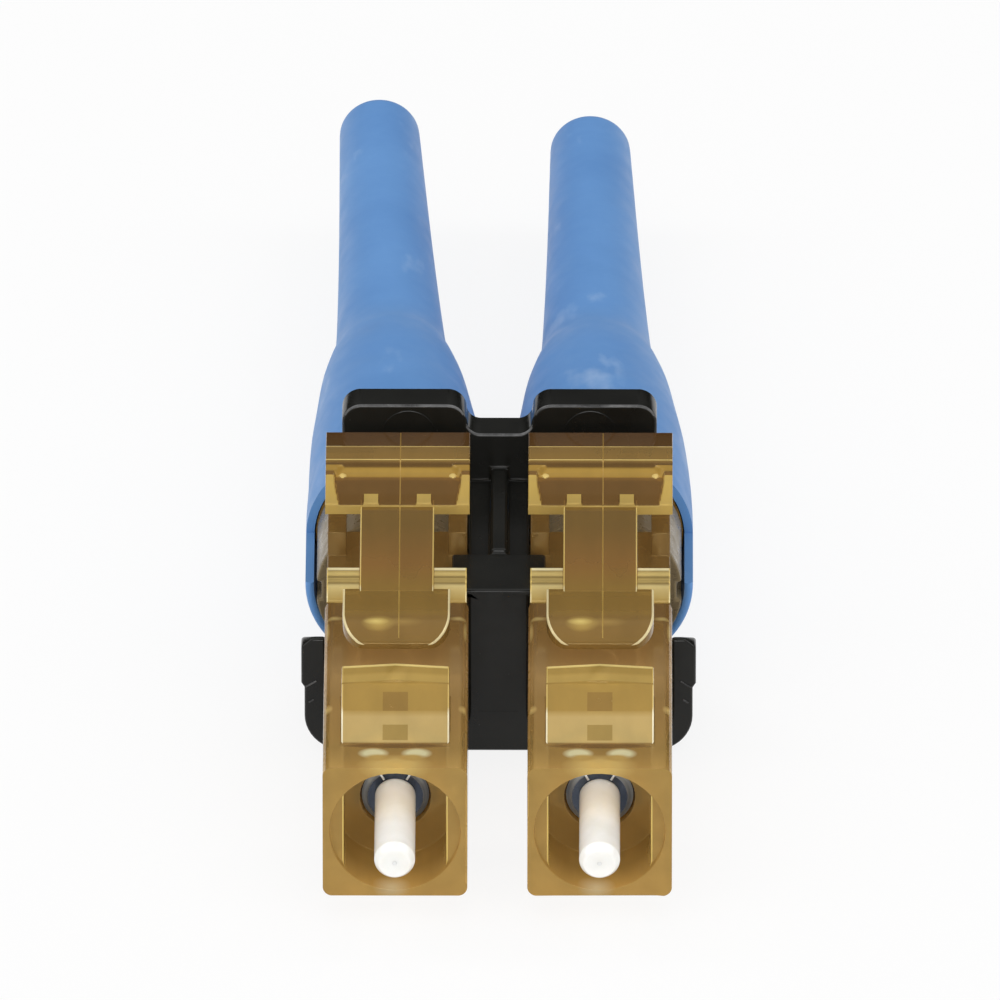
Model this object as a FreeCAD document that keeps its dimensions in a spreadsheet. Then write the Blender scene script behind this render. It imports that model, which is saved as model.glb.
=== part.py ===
import FreeCAD, Part
import os
from math import cos, radians, sin, sqrt
from types import SimpleNamespace

import Sketcher

# Duplex fibre connector: two cam-clamp plugs side by side in a clip.
# Every plug is drawn on its own axis: y runs back from the plug's front face,
# z runs up from the ferrule's centre line and x to the right. Millimetres and degrees.
SIZES = {
    # The pair
    "pitch": 6.25,
    "axis_height": 3.17,
    # Plug housing
    "plug_width": 4.42,
    "plug_length": 10.9,
    "plug_corner": 0.3,
    "rear_width": 4.3,
    "rear_length": 4.7,
    "mouth_radius": 2.0,
    "mouth_depth": 0.2,
    "cavity_width": 3.12,
    "cavity_depth": 2.28,
    "chamber_radius": 1.56,
    "seat_wall": 1.62,
    # Guide nose on top of the plug
    "nose_width": 3.3,
    "nose_start": 1.49,
    "nose_ramp_run": 0.9,
    "nose_ramp_rise": 0.68,
    "nose_slope_run": 1.1,
    "nose_slope_rise": 0.4,
    "nose_flat": 1.13,
    "nose_crown": 0.1,
    "nose_core_width": 0.76,
    "nose_core_setback": 0.71,
    "nose_core_length": 1.9,
    "nose_core_roof": 0.34,
    # Side walls that carry the latch
    "wall_thickness": 0.58,
    "wall_front": 1.6,
    "wall_behind": 0.4,
    "wall_height": 0.82,
    "wall_dip": 0.29,
    "wall_rim": 0.13,
    "wall_rim_run": 0.88,
    # Latch
    "pivot_setback": 2.15,
    "pivot_rise": 0.51,
    "trunnion_radius": 0.22,
    "trunnion_gap": 0.03,
    "root_half": 0.3,
    "root_gap": 0.08,
    "tongue_width": 3.3,
    "latch_length": 11.0,
    "tongue_length": 2.65,
    "tongue_lead_run": 1.1,
    "tongue_lead_drop": 0.45,
    "tongue_lip": 0.2,
    "tongue_rise": 1.19,
    "tongue_corner_run": 1.1,
    "tongue_corner_width": 0.65,
    "tongue_corner_curve": 1.2,
    "arm_thickness": 0.42,
    "strip_width": 2.27,
    "strip_rise": 0.46,
    "ear_width": 4.3,
    "ear_length": 1.55,
    "ear_slope": 0.35,
    "ear_drop": 0.04,
    "pad_width": 4.45,
    "pad_reach": 3.75,
    "pad_behind": 0.95,
    "pad_step": 0.09,
    "pad_thickness": 0.35,
    "scoop_length": 2.1,
    "scoop_dip": 0.1,
    "scoop_step": 0.35,
    "rail_width": 0.28,
    "rail_drop": 0.06,
    "ridge_length": 0.9,
    "ridge_rise": 0.21,
    "ridge_fall": 0.16,
    # Ferrule and its fibre
    "ferrule_radius": 0.625,
    "ferrule_reach": 2.05,
    "ferrule_chamfer": 0.16,
    "shank_length": 1.4,
    "shank_taper": 0.02,
    "shank_gap": 0.005,
    "fibre_radius": 0.0625,
    "fibre_gap": 0.004,
    "fibre_overlap": 3.2,
    # Ferrule holder
    "collar_radius": 1.03,
    "collar_gap": 0.05,
    "collar_chamfer": 0.18,
    "flange_corner": 1.48,
    "flange_length": 1.2,
    "tube_radius": 1.0,
    "tube_lip": 0.5,
    "slot_setback": 0.6,
    "slot_length": 6.3,
    "slot_width": 1.0,
    "slot_floor": 0.45,
    # Planks that grip the fibre
    "plank_gap": 0.02,
    "plank_split": 0.07,
    "groove_half": 0.13,
    "key_width": 0.5,
    "key_setback": 0.25,
    "key_length": 1.2,
    "key_gap": 0.04,
    # Spring
    "spring_wire": 0.26,
    "spring_radius": 1.28,
    "spring_turns": 3,
    "spring_chords": 8,
    "spring_gap": 0.05,
    # Backbone
    "spigot_length": 5.0,
    "spigot_gap": 0.03,
    "tube_gap": 0.05,
    "journal_radius": 1.75,
    "float_travel": 0.5,
    "body_radius": 2.56,
    "body_length": 3.0,
    "stem_radius": 1.35,
    "stem_length": 5.4,
    # Cam ring
    "cam_space": 0.15,
    "cam_length": 3.6,
    "cam_inset": 0.02,
    "cam_gap": 0.03,
    "cam_relief": 0.3,
    "cam_notch_width": 0.6,
    "cam_notch_depth": 0.18,
    # Crimp sleeve
    "crimp_space": 0.15,
    "crimp_length": 5.15,
    "crimp_wall": 0.25,
    "crimp_gap": 0.03,
    # Boot
    "boot_setback": 0.35,
    "boot_radius": 2.86,
    "boot_sleeve_length": 5.6,
    "boot_sleeve_run": 5.6,
    "boot_sleeve_fall": 0.46,
    "boot_neck_setback": 0.4,
    "boot_neck_radius": 2.38,
    "boot_neck_length": 5.9,
    "boot_shoulder_run": 3.2,
    "boot_tail_radius": 1.75,
    "boot_tail_curve": 1000.0,
    "boot_tail_length": 14.7,
    "boot_tip_radius": 1.25,
    "boot_gap": 0.04,
    "boot_end_gap": 0.16,
    "boot_window_space": 0.1,
    "boot_window_height": 0.1,
    "cable_radius": 0.85,
    "left_tip_shift": -0.75,
    "left_tip_lift": 0.43,
    "right_tip_shift": -0.36,
    "right_tip_lift": -0.14,
    # Duplex clip
    "clip_setback": 0.3,
    "clip_length": 8.9,
    "clip_reach": 2.95,
    "clip_gap": 0.04,
    "clip_corner": 1.2,
    "clip_ear_top": 0.74,
    "clip_ear_land": 0.15,
    "clip_ear_length": 3.25,
    "clip_ear_low": -0.97,
    "ear_corner_width": 0.34,
    "ear_corner_height": 0.3,
    "ear_ledge_top": -0.82,
    "ear_ledge_run": 0.16,
    "ear_ledge_depth": 0.1,
    "clip_tail_reach": 1.5,
    "bar_length": 2.4,
    "hook_thickness": 0.26,
    "bar_half": 1.44,
    "rib_half": 0.25,
    "rib_rise": 0.15,
    "trough_gap": 0.08,
    "back_wall": 1.1,
    "back_outside": 1.735,
    "back_inside": 2.105,
    "back_rise": 1.01,
    "back_corner": 0.6,
    "saddle_rise": 1.32,
    "saddle_round": 0.45,
    "panel_half": 0.6,
    "panel_depth": 0.1,
    "panel_low": -1.78,
    "panel_high": 2.1,
}

doc = FreeCAD.newDocument("fibre_connector")
sheet = doc.addObject("Spreadsheet::Sheet", "Sizes")
for row, (alias, number) in enumerate(SIZES.items(), start=1):
    sheet.set(f"A{row}", alias)
    sheet.set(f"B{row}", str(number))
    sheet.setAlias(f"B{row}", alias)
doc.recompute()


class Size:
    """A number together with the spreadsheet expression that gives it."""

    def __init__(self, value, text):
        self.value = value
        self.text = text

    def __add__(self, other):
        other = as_size(other)
        return Size(self.value + other.value, f"({self.text} + {other.text})")

    def __sub__(self, other):
        other = as_size(other)
        return Size(self.value - other.value, f"({self.text} - {other.text})")

    def __mul__(self, other):
        other = as_size(other)
        return Size(self.value * other.value, f"({self.text} * {other.text})")

    def __truediv__(self, other):
        other = as_size(other)
        return Size(self.value / other.value, f"({self.text} / {other.text})")

    def __neg__(self):
        return Size(-self.value, f"(0 - {self.text})")


def as_size(item):
    if isinstance(item, Size):
        return item
    return Size(item, f"({item})")


d = SimpleNamespace(**{name: Size(number, f"Sizes.{name}") for name, number in SIZES.items()})
ZERO = as_size(0)


def bind(item, prop, size):
    item.setExpression(prop, as_size(size).text)


def new_body(label):
    body = doc.addObject("PartDesign::Body", label)
    body.Label = label
    return body


def sketch_on(body, name, plane, offset=ZERO):
    """An empty sketch on one of the body's origin planes, moved along its normal."""
    sketch = body.newObject("Sketcher::SketchObject", name)
    support = next(item for item in body.Origin.OriginFeatures if item.Role == plane)
    sketch.AttachmentSupport = [(support, "")]
    sketch.MapMode = "FlatFace"
    bind(sketch, ".AttachmentOffset.Base.z", offset)
    return sketch


def hold(sketch, kind, geometry, point, size):
    """Dimension from the sketch's origin to a point, driven by the spreadsheet."""
    number = sketch.addConstraint(Sketcher.Constraint(kind, -1, 1, geometry, point, size.value))
    bind(sketch, f"Constraints[{number}]", size)


def add_outline(sketch, points, curves=None):
    """A closed outline with every corner dimensioned.

    Sides are straight, apart from those in curves: the number of a side gives the
    radius of its arc and 1 or -1 for an arc that swells to the left or to the right.
    """
    curves = curves or {}
    points = [(as_size(x), as_size(y)) for x, y in points]
    corners = [FreeCAD.Vector(x.value, y.value, 0) for x, y in points]
    first = sketch.GeometryCount
    count = len(points)
    heads = []
    for index, start in enumerate(corners):
        end = corners[(index + 1) % count]
        if index in curves:
            radius, swell = curves[index]
            half = (end - start) / 2
            rise = radius.value - sqrt(radius.value**2 - half.Length**2)
            aside = FreeCAD.Vector(-half.y, half.x, 0).normalize() * rise * swell
            sketch.addGeometry(Part.Arc(start, start + half + aside, end))
            number = sketch.addConstraint(Sketcher.Constraint("Radius", first + index, radius.value))
            bind(sketch, f"Constraints[{number}]", radius)
            heads.append(2 if swell > 0 else 1)
        else:
            sketch.addGeometry(Part.LineSegment(start, end))
            heads.append(1)
    for index in range(count):
        following = (index + 1) % count
        link = Sketcher.Constraint(
            "Coincident", first + index, 3 - heads[index], first + following, heads[following]
        )
        sketch.addConstraint(link)
    for index, (x, y) in enumerate(points):
        hold(sketch, "DistanceX", first + index, heads[index], x)
        hold(sketch, "DistanceY", first + index, heads[index], y)


def add_rectangle(sketch, left, right, low, high):
    add_outline(sketch, [(left, low), (right, low), (right, high), (left, high)])


def add_hexagon(sketch, corner):
    """A hexagon about the sketch's origin with a corner at the top."""
    across = as_size(corner) * sin(radians(60))
    half = as_size(corner) / 2
    add_outline(
        sketch,
        [(ZERO, corner), (-across, half), (-across, -half), (ZERO, -corner), (across, -half), (across, half)],
    )


def add_circle(sketch, x, y, radius):
    x, y, radius = as_size(x), as_size(y), as_size(radius)
    centre = FreeCAD.Vector(x.value, y.value, 0)
    circle = sketch.addGeometry(Part.Circle(centre, FreeCAD.Vector(0, 0, 1), radius.value))
    hold(sketch, "DistanceX", circle, 3, x)
    hold(sketch, "DistanceY", circle, 3, y)
    number = sketch.addConstraint(Sketcher.Constraint("Radius", circle, radius.value))
    bind(sketch, f"Constraints[{number}]", radius)


def depth_sketch(body, name, depth):
    """A sketch across the connector's axis: its x and y are the part's x and z."""
    return sketch_on(body, name, "XZ_Plane", -as_size(depth))


def side_sketch(body, name):
    """A sketch seen from the side: its x and y are the part's depth and height."""
    return sketch_on(body, name, "YZ_Plane")


def pad_back(body, name, sketch, length):
    """Material from a depth sketch towards the rear."""
    pad = body.newObject("PartDesign::Pad", name)
    pad.Profile = sketch
    pad.Reversed = True
    bind(pad, "Length", length)
    return pad


def pad_wide(body, name, sketch, width):
    """Material from a side sketch, half to each side."""
    pad = body.newObject("PartDesign::Pad", name)
    pad.Profile = sketch
    pad.SideType = "Symmetric"
    bind(pad, "Length", width)
    return pad


def cut_back(body, name, sketch, length):
    """A pocket from a depth sketch towards the rear, which has to remove something."""
    return checked_cut(body, name, sketch, length, "One side")


def cut_wide(body, name, sketch, width):
    """A pocket from a side sketch, half to each side, which has to remove something."""
    return checked_cut(body, name, sketch, width, "Symmetric")


def checked_cut(body, name, sketch, length, sides):
    doc.recompute()
    before = body.Shape.Volume
    pocket = body.newObject("PartDesign::Pocket", name)
    pocket.Profile = sketch
    pocket.SideType = sides
    bind(pocket, "Length", length)
    doc.recompute()
    if body.Shape.Volume >= before:
        raise RuntimeError(f"{body.Label} {name} removes nothing")
    return pocket


def turned(body, name, points, kind="Revolution"):
    """A revolved outline about the connector's axis: radius and depth of each corner."""
    sketch = sketch_on(body, name + "_outline", "XY_Plane")
    add_outline(sketch, points)
    return revolve(body, name, sketch, kind)


def revolve(body, name, sketch, kind):
    turn = body.newObject("PartDesign::" + kind, name)
    turn.Profile = sketch
    turn.ReferenceAxis = (sketch, ["V_Axis"])
    turn.Angle = 360
    return turn


def dress(body, name, kind, size, chosen):
    """A fillet or chamfer on the edges whose midpoint and direction are chosen."""
    doc.recompute()
    base = body.Tip
    names = []
    for number, edge in enumerate(base.Shape.Edges, start=1):
        middle = edge.valueAt((edge.FirstParameter + edge.LastParameter) / 2)
        if chosen(edge, middle):
            names.append(f"Edge{number}")
    if not names:
        raise RuntimeError(f"{body.Label} {name} finds no edge")
    feature = body.newObject("PartDesign::" + kind, name)
    feature.Base = (base, names)
    bind(feature, "Radius" if kind == "Fillet" else "Size", size)
    return feature


def close(number, size):
    return abs(number - as_size(size).value) < 0.001


def runs_along(edge, axis):
    """True for a straight edge along a unit axis."""
    if not isinstance(edge.Curve, Part.Line):
        return False
    return abs(edge.Curve.Direction.dot(axis)) > 0.999


ALONG_Y = FreeCAD.Vector(0, 1, 0)
ALONG_Z = FreeCAD.Vector(0, 0, 1)

# Sizes that several pieces share, from the front to the rear
plug_half = d.plug_width / 2
rear_half = d.rear_width / 2
rear_end = d.plug_length + d.rear_length
wall_inside = rear_half - d.wall_thickness
mouth = d.cavity_depth
shank_end = mouth + d.shank_length
seat_depth = mouth + d.seat_wall
flange_end = seat_depth + d.flange_length
backbone_start = rear_end - d.spigot_length
slot_start = backbone_start + d.slot_setback
slot_end = slot_start + d.slot_length
tube_end = slot_end + d.tube_lip
cam_radius = d.body_radius - d.cam_inset
cam_start = rear_end + d.cam_space
cam_end = cam_start + d.cam_length
key_start = cam_start + d.key_setback
body_start = cam_end + d.cam_space
stem_start = body_start + d.body_length
stem_end = stem_start + d.stem_length
crimp_inside = d.stem_radius + d.crimp_gap
crimp_corner = (crimp_inside + d.crimp_wall) / cos(radians(30))
boot_front = cam_start + d.boot_setback
boot_sleeve_end = boot_front + d.boot_sleeve_length
boot_neck_start = boot_sleeve_end + d.boot_neck_setback
boot_shoulder = boot_neck_start + d.boot_neck_length
boot_tail = boot_shoulder + d.boot_shoulder_run
boot_tip = boot_tail + d.boot_tail_length
pivot_depth = rear_end + d.pivot_setback
pivot_height = cam_radius + d.pivot_rise
clip_start = d.plug_length + d.clip_setback
clip_end = clip_start + d.clip_length
clip_middle = (clip_start + clip_end) / 2


def housing(label):
    """Moulded plug with the nose on top and two side walls for the latch."""
    body = new_body(label)

    front = depth_sketch(body, "plug_section", ZERO)
    add_rectangle(front, -plug_half, plug_half, -plug_half, plug_half)
    pad_back(body, "plug", front, d.plug_length)
    dress(body, "plug_corners", "Fillet", d.plug_corner, lambda e, p: runs_along(e, ALONG_Y))

    rear = depth_sketch(body, "rear_section", d.plug_length)
    add_rectangle(rear, -rear_half, rear_half, -rear_half, rear_half)
    pad_back(body, "rear", rear, d.rear_length)

    ramp_end = d.nose_start + d.nose_ramp_run
    ramp_top = plug_half + d.nose_ramp_rise
    slope_end = ramp_end + d.nose_slope_run
    slope_top = ramp_top + d.nose_slope_rise
    nose_end = slope_end + d.nose_flat
    nose_root = plug_half - d.plug_corner
    nose = side_sketch(body, "nose_side")
    add_outline(
        nose,
        [
            (d.nose_start, nose_root),
            (d.nose_start, plug_half),
            (ramp_end, ramp_top),
            (slope_end, slope_top),
            (nose_end, slope_top),
            (nose_end, nose_root),
        ],
    )
    pad_wide(body, "nose", nose, d.nose_width)

    crown = depth_sketch(body, "crown_section", slope_end)
    crown_half = d.nose_width / 2
    add_outline(crown, [(-crown_half, slope_top), (crown_half, slope_top), (ZERO, slope_top + d.nose_crown)])
    pad_back(body, "crown", crown, d.nose_flat)

    walls = side_sketch(body, "walls_side")
    wall_start = rear_end - d.wall_front
    wall_end = pivot_depth + d.wall_behind
    wall_underside = cam_radius - d.wall_dip
    wall_top = rear_half + d.wall_height
    rim_start = pivot_depth - d.wall_rim_run
    wall_rim_top = pivot_height + d.trunnion_radius + d.wall_rim
    add_outline(
        walls,
        [
            (wall_start, rear_half - d.plug_corner),
            (wall_start, wall_top),
            (rim_start, wall_top),
            (pivot_depth - d.trunnion_radius, wall_rim_top),
            (wall_end, wall_rim_top),
            (wall_end, wall_underside),
            (rear_end, wall_underside),
            (rear_end, rear_half - d.plug_corner),
        ],
    )
    pad_wide(body, "walls", walls, d.rear_width)
    between = side_sketch(body, "between_walls_side")
    add_rectangle(between, wall_start, wall_end, rear_half, wall_rim_top)
    cut_wide(body, "between_walls", between, wall_inside * 2)
    trunnion_hole = side_sketch(body, "trunnion_hole_side")
    add_circle(trunnion_hole, pivot_depth, pivot_height, d.trunnion_radius + d.trunnion_gap)
    cut_wide(body, "trunnion_hole", trunnion_hole, d.rear_width)

    turned(
        body,
        "bore",
        [
            (ZERO, ZERO),
            (d.mouth_radius, ZERO),
            (d.mouth_radius, mouth),
            (d.collar_radius + d.collar_gap, mouth),
            (d.collar_radius + d.collar_gap, seat_depth),
            (d.chamber_radius, seat_depth),
            (d.chamber_radius, rear_end),
            (ZERO, rear_end),
        ],
        kind="Groove",
    )
    cheeks = depth_sketch(body, "cheek_section", d.mouth_depth)
    cheek_inside = d.cavity_width / 2
    cheek_outside = (plug_half + d.mouth_radius) / 2
    for inner, outer in ((-cheek_inside, -cheek_outside), (cheek_inside, cheek_outside)):
        add_rectangle(cheeks, inner, outer, -cheek_inside, cheek_inside)
    pad_back(body, "cheeks", cheeks, mouth - d.mouth_depth)

    core = side_sketch(body, "nose_core_side")
    core_start = d.nose_start + d.nose_core_setback
    core_top = ramp_top - d.nose_core_roof
    add_rectangle(core, core_start, core_start + d.nose_core_length, ZERO, core_top)
    cut_wide(body, "nose_core", core, d.nose_core_width)
    return body


def latch(label):
    """Rear-pivoted arm: rounded tongue in front, locking ears, strip and thumb pad."""
    body = new_body(label)
    tongue_tip = pivot_depth - d.latch_length
    tongue_end = tongue_tip + d.tongue_length
    tongue_top = plug_half + d.tongue_rise
    tongue_bottom = tongue_top - d.arm_thickness
    lead_end = tongue_tip + d.tongue_lead_run
    tip_top = tongue_top - d.tongue_lead_drop

    tongue = side_sketch(body, "tongue_side")
    add_outline(
        tongue,
        [
            (tongue_tip, tip_top - d.tongue_lip),
            (tongue_tip, tip_top),
            (lead_end, tongue_top),
            (tongue_end, tongue_top),
            (tongue_end, tongue_bottom),
            (lead_end, tongue_bottom),
        ],
    )
    pad_wide(body, "tongue", tongue, d.tongue_width)
    half = d.tongue_width / 2
    corner_end = tongue_tip + d.tongue_corner_run
    corners = sketch_on(body, "tongue_corner_plan", "XY_Plane")
    for side in (-1, 1):
        corner_inside = (half - d.tongue_corner_width) * side
        add_outline(
            corners,
            [(corner_inside, tongue_tip), (half * side, corner_end), (half * side, tongue_tip)],
            curves={0: (d.tongue_corner_curve, -side)},
        )
    checked_cut(body, "tongue_corners", corners, tongue_top * 2, "Symmetric")

    strip_top = tongue_top + d.strip_rise
    strip_bottom = strip_top - d.arm_thickness
    pad_start = pivot_depth - d.pad_reach
    strip_end = pad_start + d.arm_thickness
    strip = side_sketch(body, "strip_side")
    add_outline(
        strip,
        [
            (lead_end, tongue_bottom),
            (lead_end, tongue_top),
            (tongue_end, tongue_top),
            (pad_start, strip_top),
            (strip_end, strip_top),
            (strip_end, strip_bottom),
            (pad_start, strip_bottom),
            (tongue_end, tongue_bottom),
        ],
    )
    pad_wide(body, "strip", strip, d.strip_width)

    ears = side_sketch(body, "ears_side")
    ear_top = tongue_top - d.ear_drop
    ear_bottom = ear_top - d.arm_thickness
    ear_end = tongue_end + d.ear_length
    add_outline(
        ears,
        [
            (tongue_end, ear_bottom),
            (tongue_end + d.ear_slope, ear_top),
            (ear_end, ear_top),
            (ear_end, ear_bottom),
        ],
    )
    pad_wide(body, "ears", ears, d.ear_width)

    pad_front_top = strip_top + d.pad_step
    pad_bottom = pad_front_top - d.pad_thickness
    pad_end = pivot_depth + d.pad_behind
    scoop_end = pad_start + d.scoop_length
    ridge_start = scoop_end + d.scoop_step
    ridge_top = pad_front_top + d.ridge_rise
    thumb = side_sketch(body, "thumb_pad_side")
    add_outline(
        thumb,
        [
            (pad_start, pad_bottom),
            (pad_start, pad_front_top),
            (ridge_start, ridge_top - d.rail_drop),
            (ridge_start, ridge_top),
            (ridge_start + d.ridge_length, ridge_top),
            (pad_end, ridge_top - d.ridge_fall),
            (pad_end, pad_bottom),
        ],
    )
    pad_wide(body, "thumb_pad", thumb, d.pad_width)
    scoop = side_sketch(body, "scoop_side")
    add_outline(
        scoop,
        [
            (pad_start, pad_front_top),
            (scoop_end, pad_front_top - d.scoop_dip),
            (ridge_start, ridge_top),
            (pad_start, ridge_top),
        ],
    )
    cut_wide(body, "scoop", scoop, d.pad_width - d.rail_width * 2)

    root = side_sketch(body, "root_side")
    add_rectangle(
        root,
        pivot_depth - d.root_half,
        pivot_depth + d.root_half,
        pivot_height - d.root_half,
        pad_bottom + d.arm_thickness / 2,
    )
    pad_wide(body, "root", root, (wall_inside - d.root_gap) * 2)
    trunnion = side_sketch(body, "trunnion_side")
    add_circle(trunnion, pivot_depth, pivot_height, d.trunnion_radius)
    pad_wide(body, "trunnions", trunnion, d.rear_width)
    return body


def ferrule(label):
    """Ceramic ferrule with a chamfered end, a slightly tapered shank and a fibre hole."""
    body = new_body(label)
    tip = -d.ferrule_reach
    hole = d.fibre_radius + d.fibre_gap
    turned(
        body,
        "ferrule",
        [
            (hole, tip),
            (d.ferrule_radius - d.ferrule_chamfer, tip),
            (d.ferrule_radius, tip + d.ferrule_chamfer),
            (d.ferrule_radius, mouth),
            (d.ferrule_radius - d.shank_taper, shank_end),
            (hole, shank_end),
        ],
    )
    return body


def fibre_stub(label):
    body = new_body(label)
    section = depth_sketch(body, "fibre_section", -d.ferrule_reach)
    add_circle(section, ZERO, ZERO, d.fibre_radius)
    pad_back(body, "fibre", section, d.ferrule_reach + slot_start + d.fibre_overlap)
    return body


def ferrule_holder(label):
    """Metal holder: collar round the ferrule, six-sided flange for the spring, slotted tube."""
    body = new_body(label)
    shank_hole = d.ferrule_radius + d.shank_gap
    turned(
        body,
        "holder",
        [
            (shank_hole, mouth),
            (d.collar_radius - d.collar_chamfer, mouth),
            (d.collar_radius, mouth + d.collar_chamfer),
            (d.collar_radius, flange_end),
            (d.tube_radius, flange_end),
            (d.tube_radius, tube_end),
            (ZERO, tube_end),
            (ZERO, slot_start),
            (shank_hole, slot_start),
        ],
    )
    flange = depth_sketch(body, "flange_section", seat_depth)
    add_hexagon(flange, d.flange_corner)
    add_circle(flange, ZERO, ZERO, d.tube_radius)
    pad_back(body, "flange", flange, d.flange_length)
    slot = depth_sketch(body, "slot_section", slot_start)
    slot_half = d.slot_width / 2
    add_rectangle(slot, -slot_half, slot_half, -d.slot_floor, d.tube_radius)
    cut_back(body, "slot", slot, tube_end - slot_start)
    return body


def plank_section(body, name, low, high):
    half = d.slot_width / 2 - d.plank_gap
    section = depth_sketch(body, name, slot_start + d.plank_gap)
    add_rectangle(section, -half, half, low, high)
    return pad_back(body, "plank", section, d.slot_length - d.plank_gap * 2)


def lower_plank(label):
    """Bottom gripping plank with a vee along it for the fibre."""
    body = new_body(label)
    top = d.plank_split / 2
    plank_section(body, "lower_section", -(d.slot_floor - d.plank_gap), top)
    vee = depth_sketch(body, "vee_section", slot_start)
    add_outline(vee, [(-d.groove_half, top), (d.groove_half, top), (ZERO, top - d.groove_half)])
    cut_back(body, "vee", vee, d.slot_length)
    return body


def upper_plank(label):
    """Top gripping plank with the key that the cam presses."""
    body = new_body(label)
    plank_section(body, "upper_section", d.plank_split, d.slot_floor)
    key = depth_sketch(body, "key_section", key_start)
    add_rectangle(key, -d.key_width / 2, d.key_width / 2, d.plank_split, d.journal_radius - d.key_gap)
    pad_back(body, "key", key, d.key_length)
    return body


def spring(label):
    """Compression spring of square wire, drawn with straight chords to keep it light."""
    inset = d.spring_wire / 2 + d.spring_gap
    start = flange_end + inset
    rise = backbone_start - flange_end - inset * 2
    chords = d.spring_turns.value * d.spring_chords.value
    nodes = []
    for chord in range(chords + 1):
        angle = radians(360 * chord / d.spring_chords.value)
        depth = start.value + rise.value * chord / chords
        across = d.spring_radius.value * cos(angle)
        nodes.append(FreeCAD.Vector(across, depth, d.spring_radius.value * sin(angle)))
    path = doc.addObject("Part::Polygon", label + "_path")
    path.Nodes = nodes
    section = doc.addObject("Sketcher::SketchObject", label + "_wire")
    section.Placement = FreeCAD.Placement(nodes[0], FreeCAD.Rotation(ALONG_Z, nodes[1] - nodes[0]))
    half = d.spring_wire / 2
    add_rectangle(section, -half, half, -half, half)
    doc.recompute()
    coil = doc.addObject("Part::Sweep", label)
    coil.Sections = [section]
    coil.Spine = (path, [f"Edge{number}" for number in range(1, chords + 1)])
    coil.Solid = True
    coil.Transition = "Right corner"
    return coil


def backbone(label):
    """Rear body: spigot in the housing, journal for the cam, barrel and crimp stem."""
    body = new_body(label)
    tube_hole = d.tube_radius + d.tube_gap
    spigot = d.chamber_radius - d.spigot_gap
    turned(
        body,
        "backbone",
        [
            (tube_hole, backbone_start),
            (spigot, backbone_start),
            (spigot, rear_end),
            (d.journal_radius, rear_end),
            (d.journal_radius, body_start),
            (d.body_radius, body_start),
            (d.body_radius, stem_start),
            (d.stem_radius, stem_start),
            (d.stem_radius, stem_end),
            (tube_hole, stem_end),
        ],
    )
    window = depth_sketch(body, "key_window_section", key_start - d.key_gap)
    window_half = d.key_width / 2 + d.key_gap
    add_rectangle(window, -window_half, window_half, ZERO, d.journal_radius)
    cut_back(body, "key_window", window, d.key_length + d.key_gap * 2 + d.float_travel)
    return body


def cam(label):
    """Cam ring that turns on the backbone and presses the planks together."""
    body = new_body(label)
    bore = d.journal_radius + d.cam_gap
    ring = depth_sketch(body, "ring_section", cam_start)
    add_circle(ring, ZERO, ZERO, cam_radius)
    add_circle(ring, ZERO, ZERO, bore)
    pad_back(body, "ring", ring, d.cam_length)
    relief = depth_sketch(body, "relief_section", cam_start)
    add_circle(relief, ZERO, d.cam_relief, d.journal_radius)
    cut_back(body, "relief", relief, d.cam_length)
    notches = depth_sketch(body, "notch_section", cam_start)
    notch_half = d.cam_notch_width / 2
    notch_floor = cam_radius - d.cam_notch_depth
    for side in (-1, 1):
        add_rectangle(notches, notch_floor * side, cam_radius * side, -notch_half, notch_half)
    cut_back(body, "notches", notches, d.cam_length)
    return body


def crimp_sleeve(label):
    """Sleeve pressed to six sides over the cord's yarn."""
    body = new_body(label)
    section = depth_sketch(body, "sleeve_section", stem_start + d.crimp_space)
    add_hexagon(section, crimp_corner)
    add_circle(section, ZERO, ZERO, crimp_inside)
    pad_back(body, "sleeve", section, d.crimp_length)
    return body


def boot(label, shift, lift):
    """Soft strain-relief boot: sleeve with an open front, neck and slender tail."""
    body = new_body(label)
    bend = boot_neck_start
    sleeve_tail = boot_sleeve_end + d.boot_sleeve_run
    turned(
        body,
        "sleeve",
        [
            (ZERO, boot_front),
            (d.boot_radius, boot_front),
            (d.boot_radius, boot_sleeve_end),
            (d.boot_radius - d.boot_sleeve_fall, sleeve_tail),
            (ZERO, sleeve_tail),
        ],
    )
    tail = tail_sketch(body, "tail_outline", shift, lift)
    tail_length = boot_tip - bend
    add_outline(
        tail,
        [
            (ZERO, ZERO),
            (d.boot_neck_radius, ZERO),
            (d.boot_neck_radius, boot_shoulder - bend),
            (d.boot_tail_radius, boot_tail - bend),
            (d.boot_tip_radius, tail_length),
            (ZERO, tail_length),
        ],
        curves={3: (d.boot_tail_curve, 1)},
    )
    revolve(body, "tail", tail, "Revolution")

    room = stem_end + d.boot_end_gap
    barrel_room = d.body_radius + d.boot_gap
    barrel_room_end = stem_start + d.boot_gap
    crimp_room = crimp_corner + d.boot_gap
    turned(
        body,
        "inside",
        [
            (ZERO, boot_front),
            (barrel_room, boot_front),
            (barrel_room, barrel_room_end),
            (crimp_room, barrel_room_end),
            (crimp_room, room),
            (ZERO, room),
        ],
        kind="Groove",
    )
    hole = tail_sketch(body, "cable_hole_outline", shift, lift)
    add_rectangle(hole, ZERO, d.cable_radius, room - bend - d.boot_gap, tail_length)
    revolve(body, "cable_hole", hole, "Groove")

    window = depth_sketch(body, "window_section", boot_front)
    add_rectangle(window, -d.boot_radius, d.boot_radius, d.boot_window_height, d.boot_radius)
    cut_back(body, "window", window, cam_end + d.boot_window_space - boot_front)
    return body


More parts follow.
